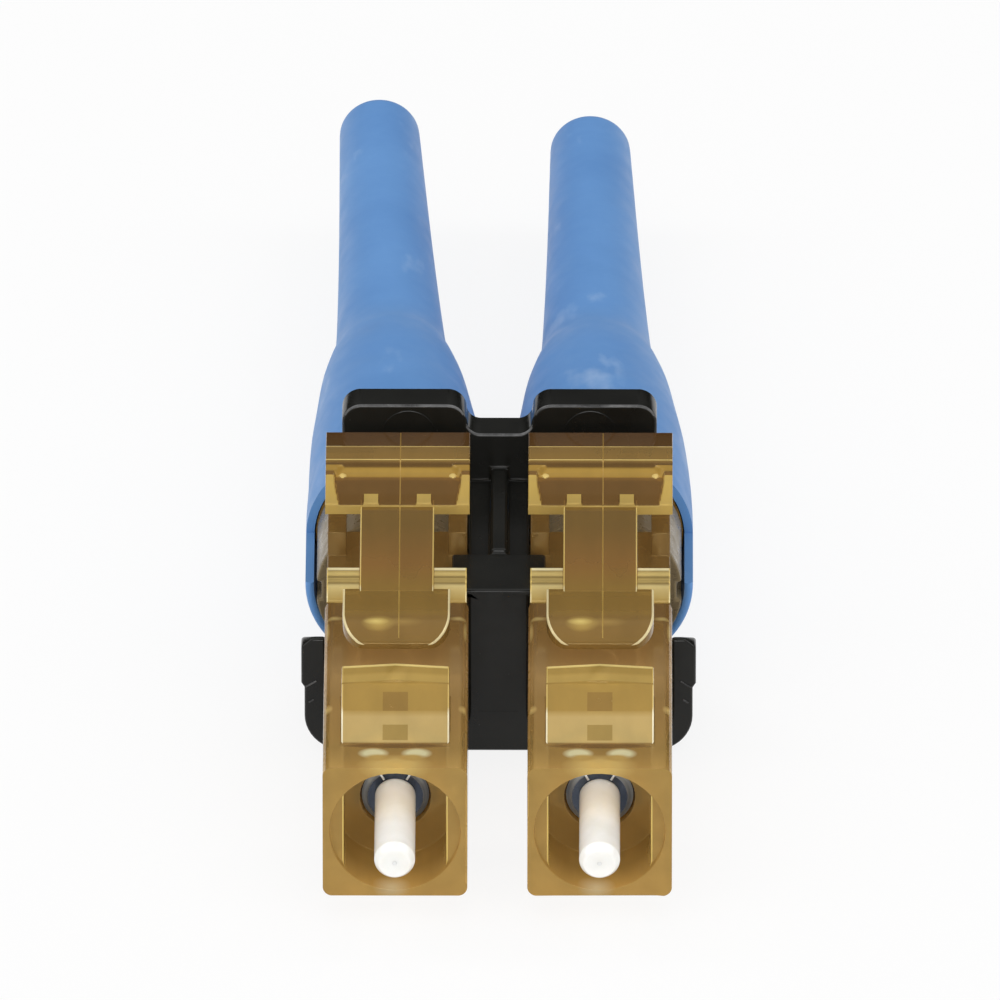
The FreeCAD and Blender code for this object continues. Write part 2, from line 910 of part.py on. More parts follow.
def tail_sketch(body, name, shift, lift):
    """A sketch along the tail, which swings about the start of the neck."""
    sketch = sketch_on(body, name, "XY_Plane")
    base = FreeCAD.Vector(0, boot_neck_start.value, 0)
    tail_way = FreeCAD.Vector(shift.value, (boot_tip - boot_neck_start).value, lift.value)
    sketch.AttachmentOffset = FreeCAD.Placement(base, FreeCAD.Rotation(ALONG_Y, tail_way))
    bind(sketch, ".AttachmentOffset.Base.y", boot_neck_start)
    return sketch


def duplex_clip(label):
    """One moulding: floor, centre web with hooks, outer ears and the upright at the back."""
    body = new_body(label)
    axis = d.pitch / 2
    side = axis + d.clip_reach
    base = -d.axis_height
    hook_low = rear_half + d.clip_gap
    floor_top = -hook_low
    bar_top = hook_low + d.hook_thickness
    saddle_top = bar_top + d.saddle_rise
    back_top = saddle_top + d.back_rise
    bar_end = clip_start + d.bar_length
    ear_end = clip_start + d.clip_ear_length
    trough_radius = d.boot_radius + d.trough_gap

    floor = depth_sketch(body, "floor_section", clip_start)
    tail_side = axis + d.clip_tail_reach
    add_rectangle(floor, -tail_side, tail_side, base, floor_top)
    pad_back(body, "floor", floor, d.clip_length)

    ears = side_sketch(body, "ears_side")
    add_outline(
        ears,
        [
            (clip_start, base),
            (clip_start, d.clip_ear_top),
            (clip_start + d.clip_ear_land, d.clip_ear_top),
            (ear_end, d.clip_ear_low),
            (ear_end, base),
        ],
    )
    pad_wide(body, "ears", ears, side * 2)
    bay = depth_sketch(body, "bay_section", clip_start)
    bay_half = axis + rear_half + d.clip_gap
    add_rectangle(bay, -bay_half, bay_half, floor_top, d.clip_ear_top)
    foot_side = side - d.ear_ledge_depth
    for sign in (-1, 1):
        add_outline(
            bay,
            [
                (side * sign, d.clip_ear_top - d.ear_corner_height),
                (side * sign, d.clip_ear_top),
                ((side - d.ear_corner_width) * sign, d.clip_ear_top),
            ],
        )
        add_outline(
            bay,
            [
                (side * sign, d.ear_ledge_top),
                (foot_side * sign, d.ear_ledge_top - d.ear_ledge_run),
                (foot_side * sign, base),
                (side * sign, base),
            ],
        )
    cut_back(body, "bay", bay, d.clip_ear_length)
    dress(
        body,
        "base_corners",
        "Fillet",
        d.clip_corner,
        lambda e, p: runs_along(e, ALONG_Y) and close(abs(p.x), foot_side) and close(p.z, base),
    )

    web_half = axis - rear_half - d.clip_gap
    web = depth_sketch(body, "web_section", clip_start)
    add_outline(
        web,
        [
            (-web_half, base),
            (web_half, base),
            (web_half, hook_low),
            (d.bar_half, hook_low),
            (d.bar_half, bar_top),
            (-d.bar_half, bar_top),
            (-d.bar_half, hook_low),
            (-web_half, hook_low),
        ],
    )
    pad_back(body, "web", web, d.bar_length)
    deck_length = clip_end - bar_end
    deck = depth_sketch(body, "deck_section", bar_end)
    add_rectangle(deck, -web_half, web_half, base, rear_half)
    pad_back(body, "deck", deck, deck_length)
    rib = depth_sketch(body, "rib_section", bar_end)
    add_rectangle(rib, -d.rib_half, d.rib_half, base, bar_top + d.rib_rise)
    pad_back(body, "rib", rib, deck_length)

    back_outside = axis + d.back_outside
    back_inside = axis - d.back_inside
    back = depth_sketch(body, "back_section", clip_end - d.back_wall)
    add_outline(
        back,
        [
            (-back_outside, base),
            (back_outside, base),
            (back_outside, back_top),
            (back_inside, back_top),
            (back_inside, saddle_top),
            (-back_inside, saddle_top),
            (-back_inside, back_top),
            (-back_outside, back_top),
        ],
    )
    pad_back(body, "back", back, d.back_wall)
    dress(
        body,
        "back_corners",
        "Fillet",
        d.back_corner,
        lambda e, p: runs_along(e, ALONG_Y) and close(p.z, back_top),
    )
    dress(
        body,
        "saddle_corners",
        "Fillet",
        d.saddle_round,
        lambda e, p: runs_along(e, ALONG_Y) and close(p.z, saddle_top),
    )

    troughs = depth_sketch(body, "trough_section", rear_end)
    for sign in (-1, 1):
        add_circle(troughs, axis * sign, ZERO, trough_radius)
    cut_back(body, "troughs", troughs, clip_end - rear_end)

    panel = depth_sketch(body, "panel_section", clip_start)
    add_rectangle(panel, -d.panel_half, d.panel_half, d.panel_low, d.panel_high)
    cut_back(body, "panel", panel, d.panel_depth)
    return body


def place(body, x):
    """Move a piece from its plug's axis to its place over the clip's base."""
    bind(body, ".Placement.Base.x", x)
    bind(body, ".Placement.Base.y", -clip_middle)
    bind(body, ".Placement.Base.z", d.axis_height)


PIECES = {
    "housing": housing,
    "latch": latch,
    "ferrule": ferrule,
    "fibre_stub": fibre_stub,
    "ferrule_holder": ferrule_holder,
    "upper_plank": upper_plank,
    "lower_plank": lower_plank,
    "spring": spring,
    "backbone": backbone,
    "cam": cam,
    "crimp_sleeve": crimp_sleeve,
}

bodies = []
for side, x in (("left", -(d.pitch / 2)), ("right", d.pitch / 2)):
    pair = [make(f"{name}_{side}") for name, make in PIECES.items()]
    shift = getattr(d, f"{side}_tip_shift")
    lift = getattr(d, f"{side}_tip_lift")
    pair.append(boot(f"boot_{side}", shift, lift))
    for body in pair:
        place(body, x)
    bodies.extend(pair)

clip = duplex_clip("duplex_clip")
place(clip, ZERO)
bodies.append(clip)

doc.recompute()

for item in doc.Objects:
    if "Invalid" in item.State or "Error" in item.State:
        raise RuntimeError(f"{item.Label} failed: {item.State}")
for body in bodies:
    if body.Shape.isNull() or not body.Shape.isValid() or len(body.Shape.Solids) != 1:
        raise RuntimeError(f"{body.Label} is not one valid solid")

os.makedirs("parts", exist_ok=True)
for body in bodies:
    body.Shape.exportStep(f"parts/{body.Label}.step")
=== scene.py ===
import math

import bmesh
import bpy
from mathutils import Matrix, Vector


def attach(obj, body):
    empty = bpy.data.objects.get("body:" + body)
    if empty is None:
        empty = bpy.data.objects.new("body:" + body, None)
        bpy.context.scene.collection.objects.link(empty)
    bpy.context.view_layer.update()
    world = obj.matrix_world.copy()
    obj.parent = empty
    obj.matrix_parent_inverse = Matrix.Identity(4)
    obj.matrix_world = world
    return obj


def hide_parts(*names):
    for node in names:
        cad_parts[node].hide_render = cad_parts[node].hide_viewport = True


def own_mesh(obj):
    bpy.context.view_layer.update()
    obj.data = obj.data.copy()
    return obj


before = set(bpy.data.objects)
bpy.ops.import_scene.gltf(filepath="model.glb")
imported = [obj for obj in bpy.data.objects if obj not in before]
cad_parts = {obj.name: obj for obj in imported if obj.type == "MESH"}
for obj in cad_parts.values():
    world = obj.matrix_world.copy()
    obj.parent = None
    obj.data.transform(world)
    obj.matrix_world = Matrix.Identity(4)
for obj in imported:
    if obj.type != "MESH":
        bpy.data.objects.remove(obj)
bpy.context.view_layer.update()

# Shapes are drawn in millimetres on each plug's own axis: x to the right,
# depth back from the plug's front face and z up from the ferrule's centre line.
MM = 0.001
PITCH = 6.25
FRONT_TO_ORIGIN = 15.65
AXIS_HEIGHT = 3.17
SIDES = {"left": -PITCH / 2, "right": PITCH / 2}
MIRROR = (-1, 1)


# Node helpers


def new_material(name):
    material = bpy.data.materials.new(name)
    material.use_nodes = True
    shader = material.node_tree.nodes["Principled BSDF"]
    return material, material.node_tree, shader


def set_inputs(shader, values):
    for socket, value in values.items():
        shader.inputs[socket].default_value = value


def add_node(tree, kind, **values):
    node = tree.nodes.new(kind)
    for key, value in values.items():
        if hasattr(node, key):
            setattr(node, key, value)
        else:
            node.inputs[key.replace("_", " ")].default_value = value
    return node


def coordinates(tree, scale, shift=(0, 0, 0)):
    """Object coordinates, scaled and then shifted."""
    source = tree.nodes.new("ShaderNodeTexCoord")
    mapping = add_node(tree, "ShaderNodeMapping", Scale=scale, Location=shift)
    tree.links.new(source.outputs["Object"], mapping.inputs["Vector"])
    return mapping.outputs["Vector"]


def noise(tree, size, stretch=(1, 1, 1), detail=3.0):
    """Noise whose features are about size millimetres."""
    node = add_node(tree, "ShaderNodeTexNoise", Scale=1 / size, Detail=detail)
    vector = coordinates(tree, [s / MM for s in stretch])
    tree.links.new(vector, node.inputs["Vector"])
    return node.outputs["Fac"]


def ramp(tree, factor, stops):
    node = tree.nodes.new("ShaderNodeValToRGB")
    elements = node.color_ramp.elements
    elements[0].position, elements[0].color = stops[0][0], (*stops[0][1], 1)
    elements[1].position, elements[1].color = stops[-1][0], (*stops[-1][1], 1)
    for place, colour in stops[1:-1]:
        elements.new(place).color = (*colour, 1)
    tree.links.new(factor, node.inputs["Fac"])
    return node.outputs["Color"]


def vary(tree, shader, socket, size, stops, **look):
    """Drive a shader's socket by noise of a given size, through a ramp."""
    tree.links.new(ramp(tree, noise(tree, size, **look), stops), shader.inputs[socket])


def depth_ramp(tree, stops):
    """Colours along a piece, at depths in millimetres back from the plug's front face."""
    first, last = stops[0][0], stops[-1][0]
    source = tree.nodes.new("ShaderNodeTexCoord")
    split = tree.nodes.new("ShaderNodeSeparateXYZ")
    span = tree.nodes.new("ShaderNodeMapRange")
    span.inputs["From Min"].default_value = (first - FRONT_TO_ORIGIN) * MM
    span.inputs["From Max"].default_value = (last - FRONT_TO_ORIGIN) * MM
    tree.links.new(source.outputs["Object"], split.inputs[0])
    tree.links.new(split.outputs["Y"], span.inputs["Value"])
    places = [((depth - first) / (last - first), colour) for depth, colour in stops]
    return ramp(tree, span.outputs["Result"], places)


def grey(level):
    return (level, level, level)


def mix(tree, factor, first, second, blend="MIX"):
    node = tree.nodes.new("ShaderNodeMix")
    node.data_type = "RGBA"
    node.blend_type = blend
    for name, value in (("Factor", factor), ("A", first), ("B", second)):
        socket = node.inputs[name]
        if isinstance(value, bpy.types.NodeSocket):
            tree.links.new(value, socket)
        elif isinstance(value, tuple):
            socket.default_value = (*value, 1)
        else:
            socket.default_value = value
    return node.outputs["Result"]


def spot(tree, base, place, size, colour, solid):
    """Lay a soft patch of colour on both plugs; these patches are painted highlights, reflections
    and shade.

    The place is (x, depth, z) and the size its three half widths. The colour grows from
    the patch's border and is full at solid, a share of the way to its middle.
    """
    for x in SIDES.values():
        origin = (x, -FRONT_TO_ORIGIN, AXIS_HEIGHT)
        centre = [at + start for at, start in zip(place, origin)]
        scale = [1 / (half * MM) for half in size]
        shift = [-at / half for at, half in zip(centre, size)]
        ball = add_node(tree, "ShaderNodeTexGradient", gradient_type="SPHERICAL")
        tree.links.new(coordinates(tree, scale, shift), ball.inputs["Vector"])
        fade = ramp(tree, ball.outputs["Fac"], [(0.0, grey(0)), (solid, grey(1))])
        base = mix(tree, fade, base, colour)
    return base


def bump(tree, shader, height, strength, depth):
    node = add_node(tree, "ShaderNodeBump", Strength=strength, Distance=depth * MM)
    tree.links.new(height, node.inputs["Height"])
    tree.links.new(node.outputs["Normal"], shader.inputs["Normal"])


# Materials

RESIN_IOR = 1.45
RESIN_TINT = (1.0, 0.75, 0.32, 1)


def amber(name, stops, transmission, roughness, spots=(), specular=0.5):
    """See-through moulded resin with flow streaks and faint haze; its tone follows the depth, and
    these tones and the soft patches are painted light and shade.
    """
    material, tree, shader = new_material(name)
    streaks = noise(tree, size=1.4, stretch=(1.6, 0.35, 1.6), detail=4)
    shade = ramp(tree, streaks, [(0.34, grey(0.87)), (0.64, grey(0.98))])
    colour = mix(tree, 1.0, depth_ramp(tree, stops), shade, "MULTIPLY")
    for patch in spots:
        colour = spot(tree, colour, *patch)
    tree.links.new(colour, shader.inputs["Base Color"])
    haze = [(0.3, grey(roughness * 0.7)), (0.75, grey(roughness * 1.5))]
    vary(tree, shader, "Roughness", size=0.35, stops=haze)
    constants = {
        "Transmission Weight": transmission,
        "IOR": RESIN_IOR,
        "Specular IOR Level": specular,
        "Specular Tint": RESIN_TINT,
        "Coat Weight": 0.06,
        "Coat Roughness": 0.08,
    }
    set_inputs(shader, constants)
    bump(tree, shader, noise(tree, size=0.5, stretch=(1, 0.5, 1)), strength=0.04, depth=0.01)
    return material


def blue_rubber(name):
    material, tree, shader = new_material(name)
    blues = [(0.3, (0.1, 0.258, 0.565)), (0.7, (0.125, 0.3, 0.62))]
    base = ramp(tree, noise(tree, size=4.0, detail=4), blues)
    marks = noise(tree, size=2.2, stretch=(1.3, 0.6, 1.3), detail=6)
    scuffs = ramp(tree, marks, [(0.62, grey(0)), (0.8, grey(0.45))])
    chalk = (0.55, 0.68, 0.85)
    tree.links.new(mix(tree, scuffs, base, chalk), shader.inputs["Base Color"])
    matt = [(0.3, grey(0.42)), (0.7, grey(0.6))]
    vary(tree, shader, "Roughness", size=0.8, stops=matt, detail=4)
    set_inputs(shader, {"Specular IOR Level": 0.35, "Sheen Weight": 0.08})
    bump(tree, shader, noise(tree, size=0.12, detail=4), strength=0.25, depth=0.01)
    return material


def black_plastic(name):
    material, tree, shader = new_material(name)
    blacks = [(0.3, (0.006, 0.006, 0.005)), (0.8, (0.014, 0.014, 0.012))]
    vary(tree, shader, "Base Color", size=2.5, stops=blacks, detail=4)
    gloss = [(0.3, grey(0.16)), (0.75, grey(0.28))]
    vary(tree, shader, "Roughness", size=0.4, stops=gloss, detail=6)
    set_inputs(shader, {"Specular IOR Level": 0.25})
    bump(tree, shader, noise(tree, size=0.9, detail=2), strength=0.03, depth=0.006)
    return material


def black_with_painted_highlight(name):
    """The black plastic drawn paler along its edges: a painted highlight."""
    material, tree, shader = new_material(name)
    highlight_greys = [(0.4, grey(0.012)), (0.66, grey(0.11))]
    vary(tree, shader, "Base Color", size=0.9, stops=highlight_greys)
    gloss = [(0.3, grey(0.2)), (0.75, grey(0.35))]
    vary(tree, shader, "Roughness", size=0.3, stops=gloss)
    return material


def ceramic(name):
    material, tree, shader = new_material(name)
    whites = [(0.3, (0.83, 0.82, 0.77)), (0.7, (0.9, 0.89, 0.86))]
    vary(tree, shader, "Base Color", size=0.8, stops=whites)
    ground = [(0.3, grey(0.12)), (0.7, grey(0.2))]
    vary(tree, shader, "Roughness", size=0.2, stops=ground, stretch=(1, 4, 1))
    constants = {
        "Subsurface Weight": 0.25,
        "Subsurface Radius": (0.6 * MM, 0.5 * MM, 0.4 * MM),
        "Subsurface Scale": 1.0,
    }
    set_inputs(shader, constants)
    grinding = noise(tree, size=0.06, stretch=(1, 6, 1), detail=2)
    bump(tree, shader, grinding, strength=0.05, depth=0.004)
    return material


def metal(name, dark, light, roughness, grain, metallic=1.0):
    """Metal with turning marks that run round it; grain is their width."""
    material, tree, shader = new_material(name)
    marks = noise(tree, grain, stretch=(0.05, 1, 0.05), detail=4)
    colour = ramp(tree, marks, [(0.3, dark), (0.7, light)])
    tree.links.new(colour, shader.inputs["Base Color"])
    set_inputs(shader, {"Metallic": metallic})
    rough = ramp(tree, marks, [(0.3, grey(roughness * 0.8)), (0.7, grey(roughness * 1.3))])
    tree.links.new(rough, shader.inputs["Roughness"])
    bump(tree, shader, marks, strength=0.1, depth=0.006)
    return material


def grey_polymer(name):
    material, tree, shader = new_material(name)
    greys = [(0.3, (0.3, 0.3, 0.31)), (0.7, (0.42, 0.42, 0.43))]
    vary(tree, shader, "Base Color", size=0.6, stops=greys, detail=4)
    matt = [(0.3, grey(0.35)), (0.7, grey(0.5))]
    vary(tree, shader, "Roughness", size=0.15, stops=matt)
    bump(tree, shader, noise(tree, size=0.1), strength=0.1, depth=0.005)
    return material


def glass_fibre(name):
    material, tree, shader = new_material(name)
    pale = [(0.3, (0.84, 0.84, 0.82)), (0.7, (0.9, 0.9, 0.88))]
    vary(tree, shader, "Base Color", size=0.3, stops=pale, detail=2)
    set_inputs(shader, {"Roughness": 0.08, "Transmission Weight": 0.08})
    return material


# Tones of the amber mouldings: (depth, colour) along each piece. Most are painted light and
# shade: bright bands for highlights and for what shows through the clear resin, dark bands for
# shade

# Painted light and shade along the shell, in place of what shows through the clear resin: lighter
# at the front face and at 6.5 mm, darker towards the back
SHELL_TONES = [
    (0.0, (0.64, 0.405, 0.12)),
    (1.3, (0.42, 0.262, 0.075)),
    (4.6, (0.41, 0.255, 0.085)),
    (6.5, (0.55, 0.345, 0.13)),
    (8.2, (0.4, 0.235, 0.08)),
    (10.0, (0.34, 0.19, 0.058)),
    (13.0, (0.26, 0.15, 0.045)),
    (15.8, (0.26, 0.15, 0.045)),
]
# The nose's tones: a painted shade line at its foot, a painted highlight band of the overhead
# light on its front slope, brighter and darker painted bands on its facets, and a painted
# highlight on its crest
NOSE_TONES = [
    (1.42, (0.198, 0.102, 0.027)),
    (1.53, (0.198, 0.102, 0.027)),
    (1.58, (0.581, 0.422, 0.163)),
    (2.25, (0.568, 0.41, 0.163)),
    (2.45, (0.42, 0.268, 0.064)),
    (3.45, (0.42, 0.268, 0.064)),
    (3.5, (0.33, 0.205, 0.048)),
    (3.55, (0.581, 0.397, 0.109)),
    (3.9, (0.568, 0.384, 0.109)),
    (4.1, (0.462, 0.307, 0.082)),
    (4.42, (0.462, 0.307, 0.082)),
    (4.48, (0.92, 0.72, 0.27)),
    (4.7, (0.92, 0.72, 0.27)),
]
# Painted highlight on the nose's side edges, pale cream on its front slope
NOSE_HIGHLIGHT_TONES = [
    (1.5, (0.95, 0.88, 0.62)),
    (2.35, (0.95, 0.88, 0.62)),
    (2.6, (0.72, 0.52, 0.17)),
    (4.7, (0.68, 0.48, 0.15)),
]
# Painted shade of the pocket under the nose, on its walls and as darker squares seen through the
# nose's top
POCKET_SHADE_TONES = [
    (1.5, (0.34, 0.23, 0.07)),
    (2.2, (0.34, 0.23, 0.07)),
    (2.4, (0.28, 0.165, 0.04)),
    (4.2, (0.28, 0.165, 0.04)),
]
# Painted highlight on the flat inner walls either side of the mouth
MOUTH_HIGHLIGHT_TONES = [(0.0, (0.86, 0.64, 0.2)), (2.5, (0.86, 0.64, 0.2))]
# Painted light and shade along the latch: olive and brown bands, a bright painted highlight on
# the scoop's rear wall (16.03 to 16.32 mm), a dark painted shade line at its top (16.37 to 16.44
# mm) and a darker rear facet
OLIVE = (0.342, 0.213, 0.051)
LATCH_TONES = [
    (6.75, (0.3, 0.18, 0.052)),
    (7.7, (0.31, 0.19, 0.055)),
    (7.95, OLIVE),
    (9.6, OLIVE),
    (10.9, (0.331, 0.178, 0.048)),
    (13.0, (0.262, 0.158, 0.042)),
    (14.0, (0.262, 0.158, 0.042)),
    (14.1, (0.268, 0.15, 0.048)),
    (15.95, (0.268, 0.15, 0.048)),
    (16.03, (0.594, 0.375, 0.078)),
    (16.32, (0.594, 0.375, 0.078)),
    (16.37, (0.144, 0.075, 0.024)),
    (16.44, (0.144, 0.075, 0.024)),
    (16.48, (0.383, 0.241, 0.072)),
    (17.38, (0.383, 0.241, 0.072)),
    (17.48, (0.182, 0.096, 0.033)),
    (18.7, (0.153, 0.079, 0.03)),
]
# Painted highlight along the latch's rounded side edges, its beads and its knobs: cream at the
# tongue, yellow further back
LATCH_EDGE_HIGHLIGHT_TONES = [
    (6.7, (0.92, 0.8, 0.46)),
    (9.5, (0.92, 0.8, 0.46)),
    (9.7, (0.78, 0.57, 0.18)),
    (18.8, (0.86, 0.66, 0.24)),
]
# Painted highlight bands on the ears' slope and ridges, with painted shade between them
EAR_LIGHT_AND_SHADE = [
    (9.4, (0.446, 0.311, 0.093)),
    (9.75, (0.648, 0.518, 0.23)),
    (9.93, (0.288, 0.207, 0.068)),
    (10.15, (0.59, 0.444, 0.162)),
    (10.3, (0.288, 0.207, 0.068)),
    (10.5, (0.612, 0.466, 0.17)),
    (10.72, (0.324, 0.229, 0.076)),
    (10.8, (0.92, 0.82, 0.5)),
    (10.95, (0.92, 0.82, 0.5)),
]
# Painted highlight on the pad's front face, side rails and gusset tops
PAD_HIGHLIGHT_TONES = [
    (13.9, (0.58, 0.41, 0.12)),
    (14.6, (0.64, 0.45, 0.12)),
    (16.0, (0.74, 0.52, 0.14)),
]
# Painted highlight on the raised parting line along the latch
SEAM_HIGHLIGHT_TONES = [
    (6.7, (0.52, 0.36, 0.1)),
    (14.0, (0.52, 0.35, 0.1)),
    (18.8, (0.44, 0.28, 0.08)),
]
BACKBONE_TONES = [(10.6, (0.5, 0.29, 0.08)), (28.0, (0.42, 0.23, 0.06))]
CAM_TONES = [(15.7, (0.2, 0.155, 0.09)), (19.4, (0.26, 0.21, 0.14))]

# Soft patches of painted light and shade: place, half widths, colour and how soon the colour is
# full
SHELL_TOP = 2.21
# Colours of a painted reflection, its painted shade and a painted highlight
CRESCENT_REFLECTION = (1.0, 0.97, 0.6)
CRESCENT_SHADE = (0.62, 0.42, 0.13)
SHOULDER_HIGHLIGHT = (0.86, 0.64, 0.24)
SHELL_LIGHT_AND_SHADE = [
    # A painted light patch over the front top edge, around the crescents
    ((0, 0.2, SHELL_TOP), (1.2, 0.7, 0.5), (0.8, 0.58, 0.2), 0.5),
    # A painted shade line on the shell just in front of the nose
    ((0, 1.44, SHELL_TOP), (1.8, 0.17, 0.4), (0.22, 0.12, 0.035), 0.35),
    # A painted reflection of the ferrule on the front face below the mouth
    ((-0.1, 0.15, -1.95), (0.6, 0.7, 0.4), (0.75, 0.65, 0.42), 1.0),
]
SHELL_LIGHT_AND_SHADE_PAIRS = [
    # Painted reflections of the mouth, seen as crescents through the top, shaped by painted shade
    ((0.66, 0.95), (0.5, 0.36, 0.4), CRESCENT_REFLECTION, 0.45),
    ((0.52, 0.68), (0.5, 0.26, 0.4), CRESCENT_SHADE, 0.5),
    # Painted highlights on the shell's rounded shoulders
    ((2.1, 3.85), (0.2, 0.3, 0.35), SHOULDER_HIGHLIGHT, 0.8),
    ((2.14, 9.0), (0.1, 0.8, 0.35), SHOULDER_HIGHLIGHT, 0.8),
    ((1.9, 9.75), (0.32, 0.16, 0.35), SHOULDER_HIGHLIGHT, 0.8),
]
SHELL_LIGHT_AND_SHADE += [
    ((turn * x, depth, SHELL_TOP), size, colour, solid)
    for turn in MIRROR
    for (x, depth), size, colour, solid in SHELL_LIGHT_AND_SHADE_PAIRS
]
# Painted light on the tongue's top: patches that brighten towards a bright painted highlight
TONGUE_HIGHLIGHT = [
    ((0.2, 7.5, 3.3), (0.65, 0.22, 0.6), (0.44, 0.29, 0.085), 1.0),
    ((-0.55, 7.45, 3.3), (0.55, 0.36, 0.6), (0.74, 0.54, 0.15), 1.0),
    ((-0.62, 7.52, 3.3), (0.42, 0.16, 0.6), (1.0, 0.8, 0.26), 1.0),
]

# Amber looks: tones, transmission, roughness, soft patches, specular level. The tones and soft
# patches hold painted light and shade
AMBERS = {
    "amber_shell": (SHELL_TONES, 0.5, 0.12, SHELL_LIGHT_AND_SHADE),
    "amber_pocket_shade": (POCKET_SHADE_TONES, 0.1, 0.2),
    "amber_nose": (NOSE_TONES, 0.25, 0.14),
    "amber_mouth_highlight": (MOUTH_HIGHLIGHT_TONES, 0.2, 0.1),
    "amber_nose_highlight": (NOSE_HIGHLIGHT_TONES, 0.15, 0.1),
    "amber_side_edge": (SHELL_TONES, 0.3, 0.3, (), 0.08),
    "amber_latch": (LATCH_TONES, 0.5, 0.1, TONGUE_HIGHLIGHT),
    "amber_edge_highlight": (LATCH_EDGE_HIGHLIGHT_TONES, 0.25, 0.1),
    "amber_ear_light_and_shade": (EAR_LIGHT_AND_SHADE, 0.3, 0.1),
    "amber_pad_highlight": (PAD_HIGHLIGHT_TONES, 0.3, 0.12),
    "amber_seam_highlight": (SEAM_HIGHLIGHT_TONES, 0.25, 0.15),
    "amber_backbone": (BACKBONE_TONES, 0.4, 0.25),
    "smoke_cam": (CAM_TONES, 0.12, 0.3),
}
# Metal looks: dark and light tone, roughness, width of the turning marks, metallic share
METALS = {
    "nickel_holder": ((0.02, 0.026, 0.04), (0.075, 0.09, 0.12), 0.22, 0.08, 0.7),
    # The ribs' near-white metal is a painted highlight, and the rim's paler nickel is painted
    # light
    "rib_highlight": ((0.7, 0.72, 0.74), (0.85, 0.86, 0.86), 0.3, 0.1),
    "collar_rim_light": ((0.16, 0.19, 0.24), (0.32, 0.37, 0.44), 0.35, 0.1, 0.6),
    "spring_wire": ((0.45, 0.44, 0.42), (0.6, 0.59, 0.57), 0.3, 0.2),
    "crimp_metal": ((0.5, 0.49, 0.46), (0.66, 0.65, 0.62), 0.32, 0.3),
}
PLAIN = {
    "white_ceramic": ceramic,
    "fibre_glass": glass_fibre,
    "grey_plank": grey_polymer,
    "blue_boot": blue_rubber,
    "black_clip": black_plastic,
    "clip_edge": black_with_painted_highlight,
}
MATERIALS = {name: amber(name, *look) for name, look in AMBERS.items()}
MATERIALS.update({name: metal(name, *look) for name, look in METALS.items()})
MATERIALS.update({name: make(name) for name, make in PLAIN.items()})

# Materials of some of a piece's faces, numbered from 1 after the piece's own slot
SHELL_EXTRAS = (
    "amber_pocket_shade", "amber_nose", "amber_mouth_highlight", "amber_nose_highlight", "amber_side_edge",
)
SHELL_POCKET_SHADE, SHELL_NOSE, SHELL_MOUTH_HIGHLIGHT, SHELL_NOSE_HIGHLIGHT, SHELL_SIDE_EDGE = 1, 2, 3, 4, 5
LATCH_EXTRAS = ("amber_edge_highlight", "amber_ear_light_and_shade", "amber_pad_highlight", "amber_seam_highlight")
LATCH_EDGE_HIGHLIGHT, LATCH_EAR_LIGHT_AND_SHADE, LATCH_PAD_HIGHLIGHT, LATCH_SEAM_HIGHLIGHT = 1, 2, 3, 4
COLLAR_EXTRAS = ("rib_highlight", "collar_rim_light")
COLLAR_RIB_HIGHLIGHT, COLLAR_RIM_LIGHT = 1, 2
# The clip's painted edge highlight
CLIP_EXTRAS = ("clip_edge",)
CLIP_HIGHLIGHT = 1


# Mesh helpers, all in millimetres

WELD = 0.0005
FLAT_DEGREES = 0.5


def mesh_data(name, mesh):
    """Blender's own data from a mesh, which is used up."""
    data = bpy.data.meshes.new(name)
    mesh.to_mesh(data)
    mesh.free()
    return data


def add_object(name, data):
    item = bpy.data.objects.new(name, data)
    bpy.context.scene.collection.objects.link(item)
    return item


def node_mesh(node):
    """A welded copy of a CAD node with its flat faces joined, in the shared frame."""
    mesh = bmesh.new()
    mesh.from_mesh(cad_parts[node].data)
    bmesh.ops.scale(mesh, vec=(1 / MM,) * 3, verts=mesh.verts)
    bmesh.ops.remove_doubles(mesh, verts=mesh.verts, dist=WELD)
    flat = math.radians(FLAT_DEGREES)
    bmesh.ops.dissolve_limit(mesh, angle_limit=flat, verts=mesh.verts, edges=mesh.edges)
    return mesh


def sharp_edges(mesh, degrees, shortest=0.0):
    """Edges between two faces that turn by more than an angle."""
    limit = math.radians(degrees)
    found = []
    for edge in mesh.edges:
        between_two = len(edge.link_faces) == 2
        if between_two and edge.calc_face_angle(0) > limit and edge.calc_length() > shortest:
            found.append(edge)
    return found


def round_edges(mesh, edges, width, segments=2):
    bmesh.ops.bevel(
        mesh,
        geom=edges,
        offset=width,
        offset_type="OFFSET",
        segments=segments,
        profile=0.5,
        affect="EDGES",
        clamp_overlap=False,
    )


def tint(mesh, index):
    """Give all faces one of the piece's materials."""
    for face in mesh.faces:
        face.material_index = index


def box_mesh(low, high):
    mesh = bmesh.new()
    bmesh.ops.create_cube(mesh, size=1)
    low, high = Vector(low), Vector(high)
    size = high - low
    for vert in mesh.verts:
        vert.co = Vector(low[i] + (vert.co[i] + 0.5) * size[i] for i in range(3))
    return mesh


def circle(steps):
    """Cosine and sine of evenly spaced angles round a full turn."""
    angles = [2 * math.pi * step / steps for step in range(steps)]
    return [(math.cos(angle), math.sin(angle)) for angle in angles]


def skin(mesh, loops):
    """Close a tube: faces between its successive loops, and both ends."""
    count = len(loops[0])
    for first, second in zip(loops, loops[1:]):
        for i in range(count):
            j = (i + 1) % count
            mesh.faces.new((first[i], first[j], second[j], second[i]))
    mesh.faces.new(loops[0])
    mesh.faces.new(reversed(loops[-1]))
    bmesh.ops.recalc_face_normals(mesh, faces=mesh.faces)
    return mesh


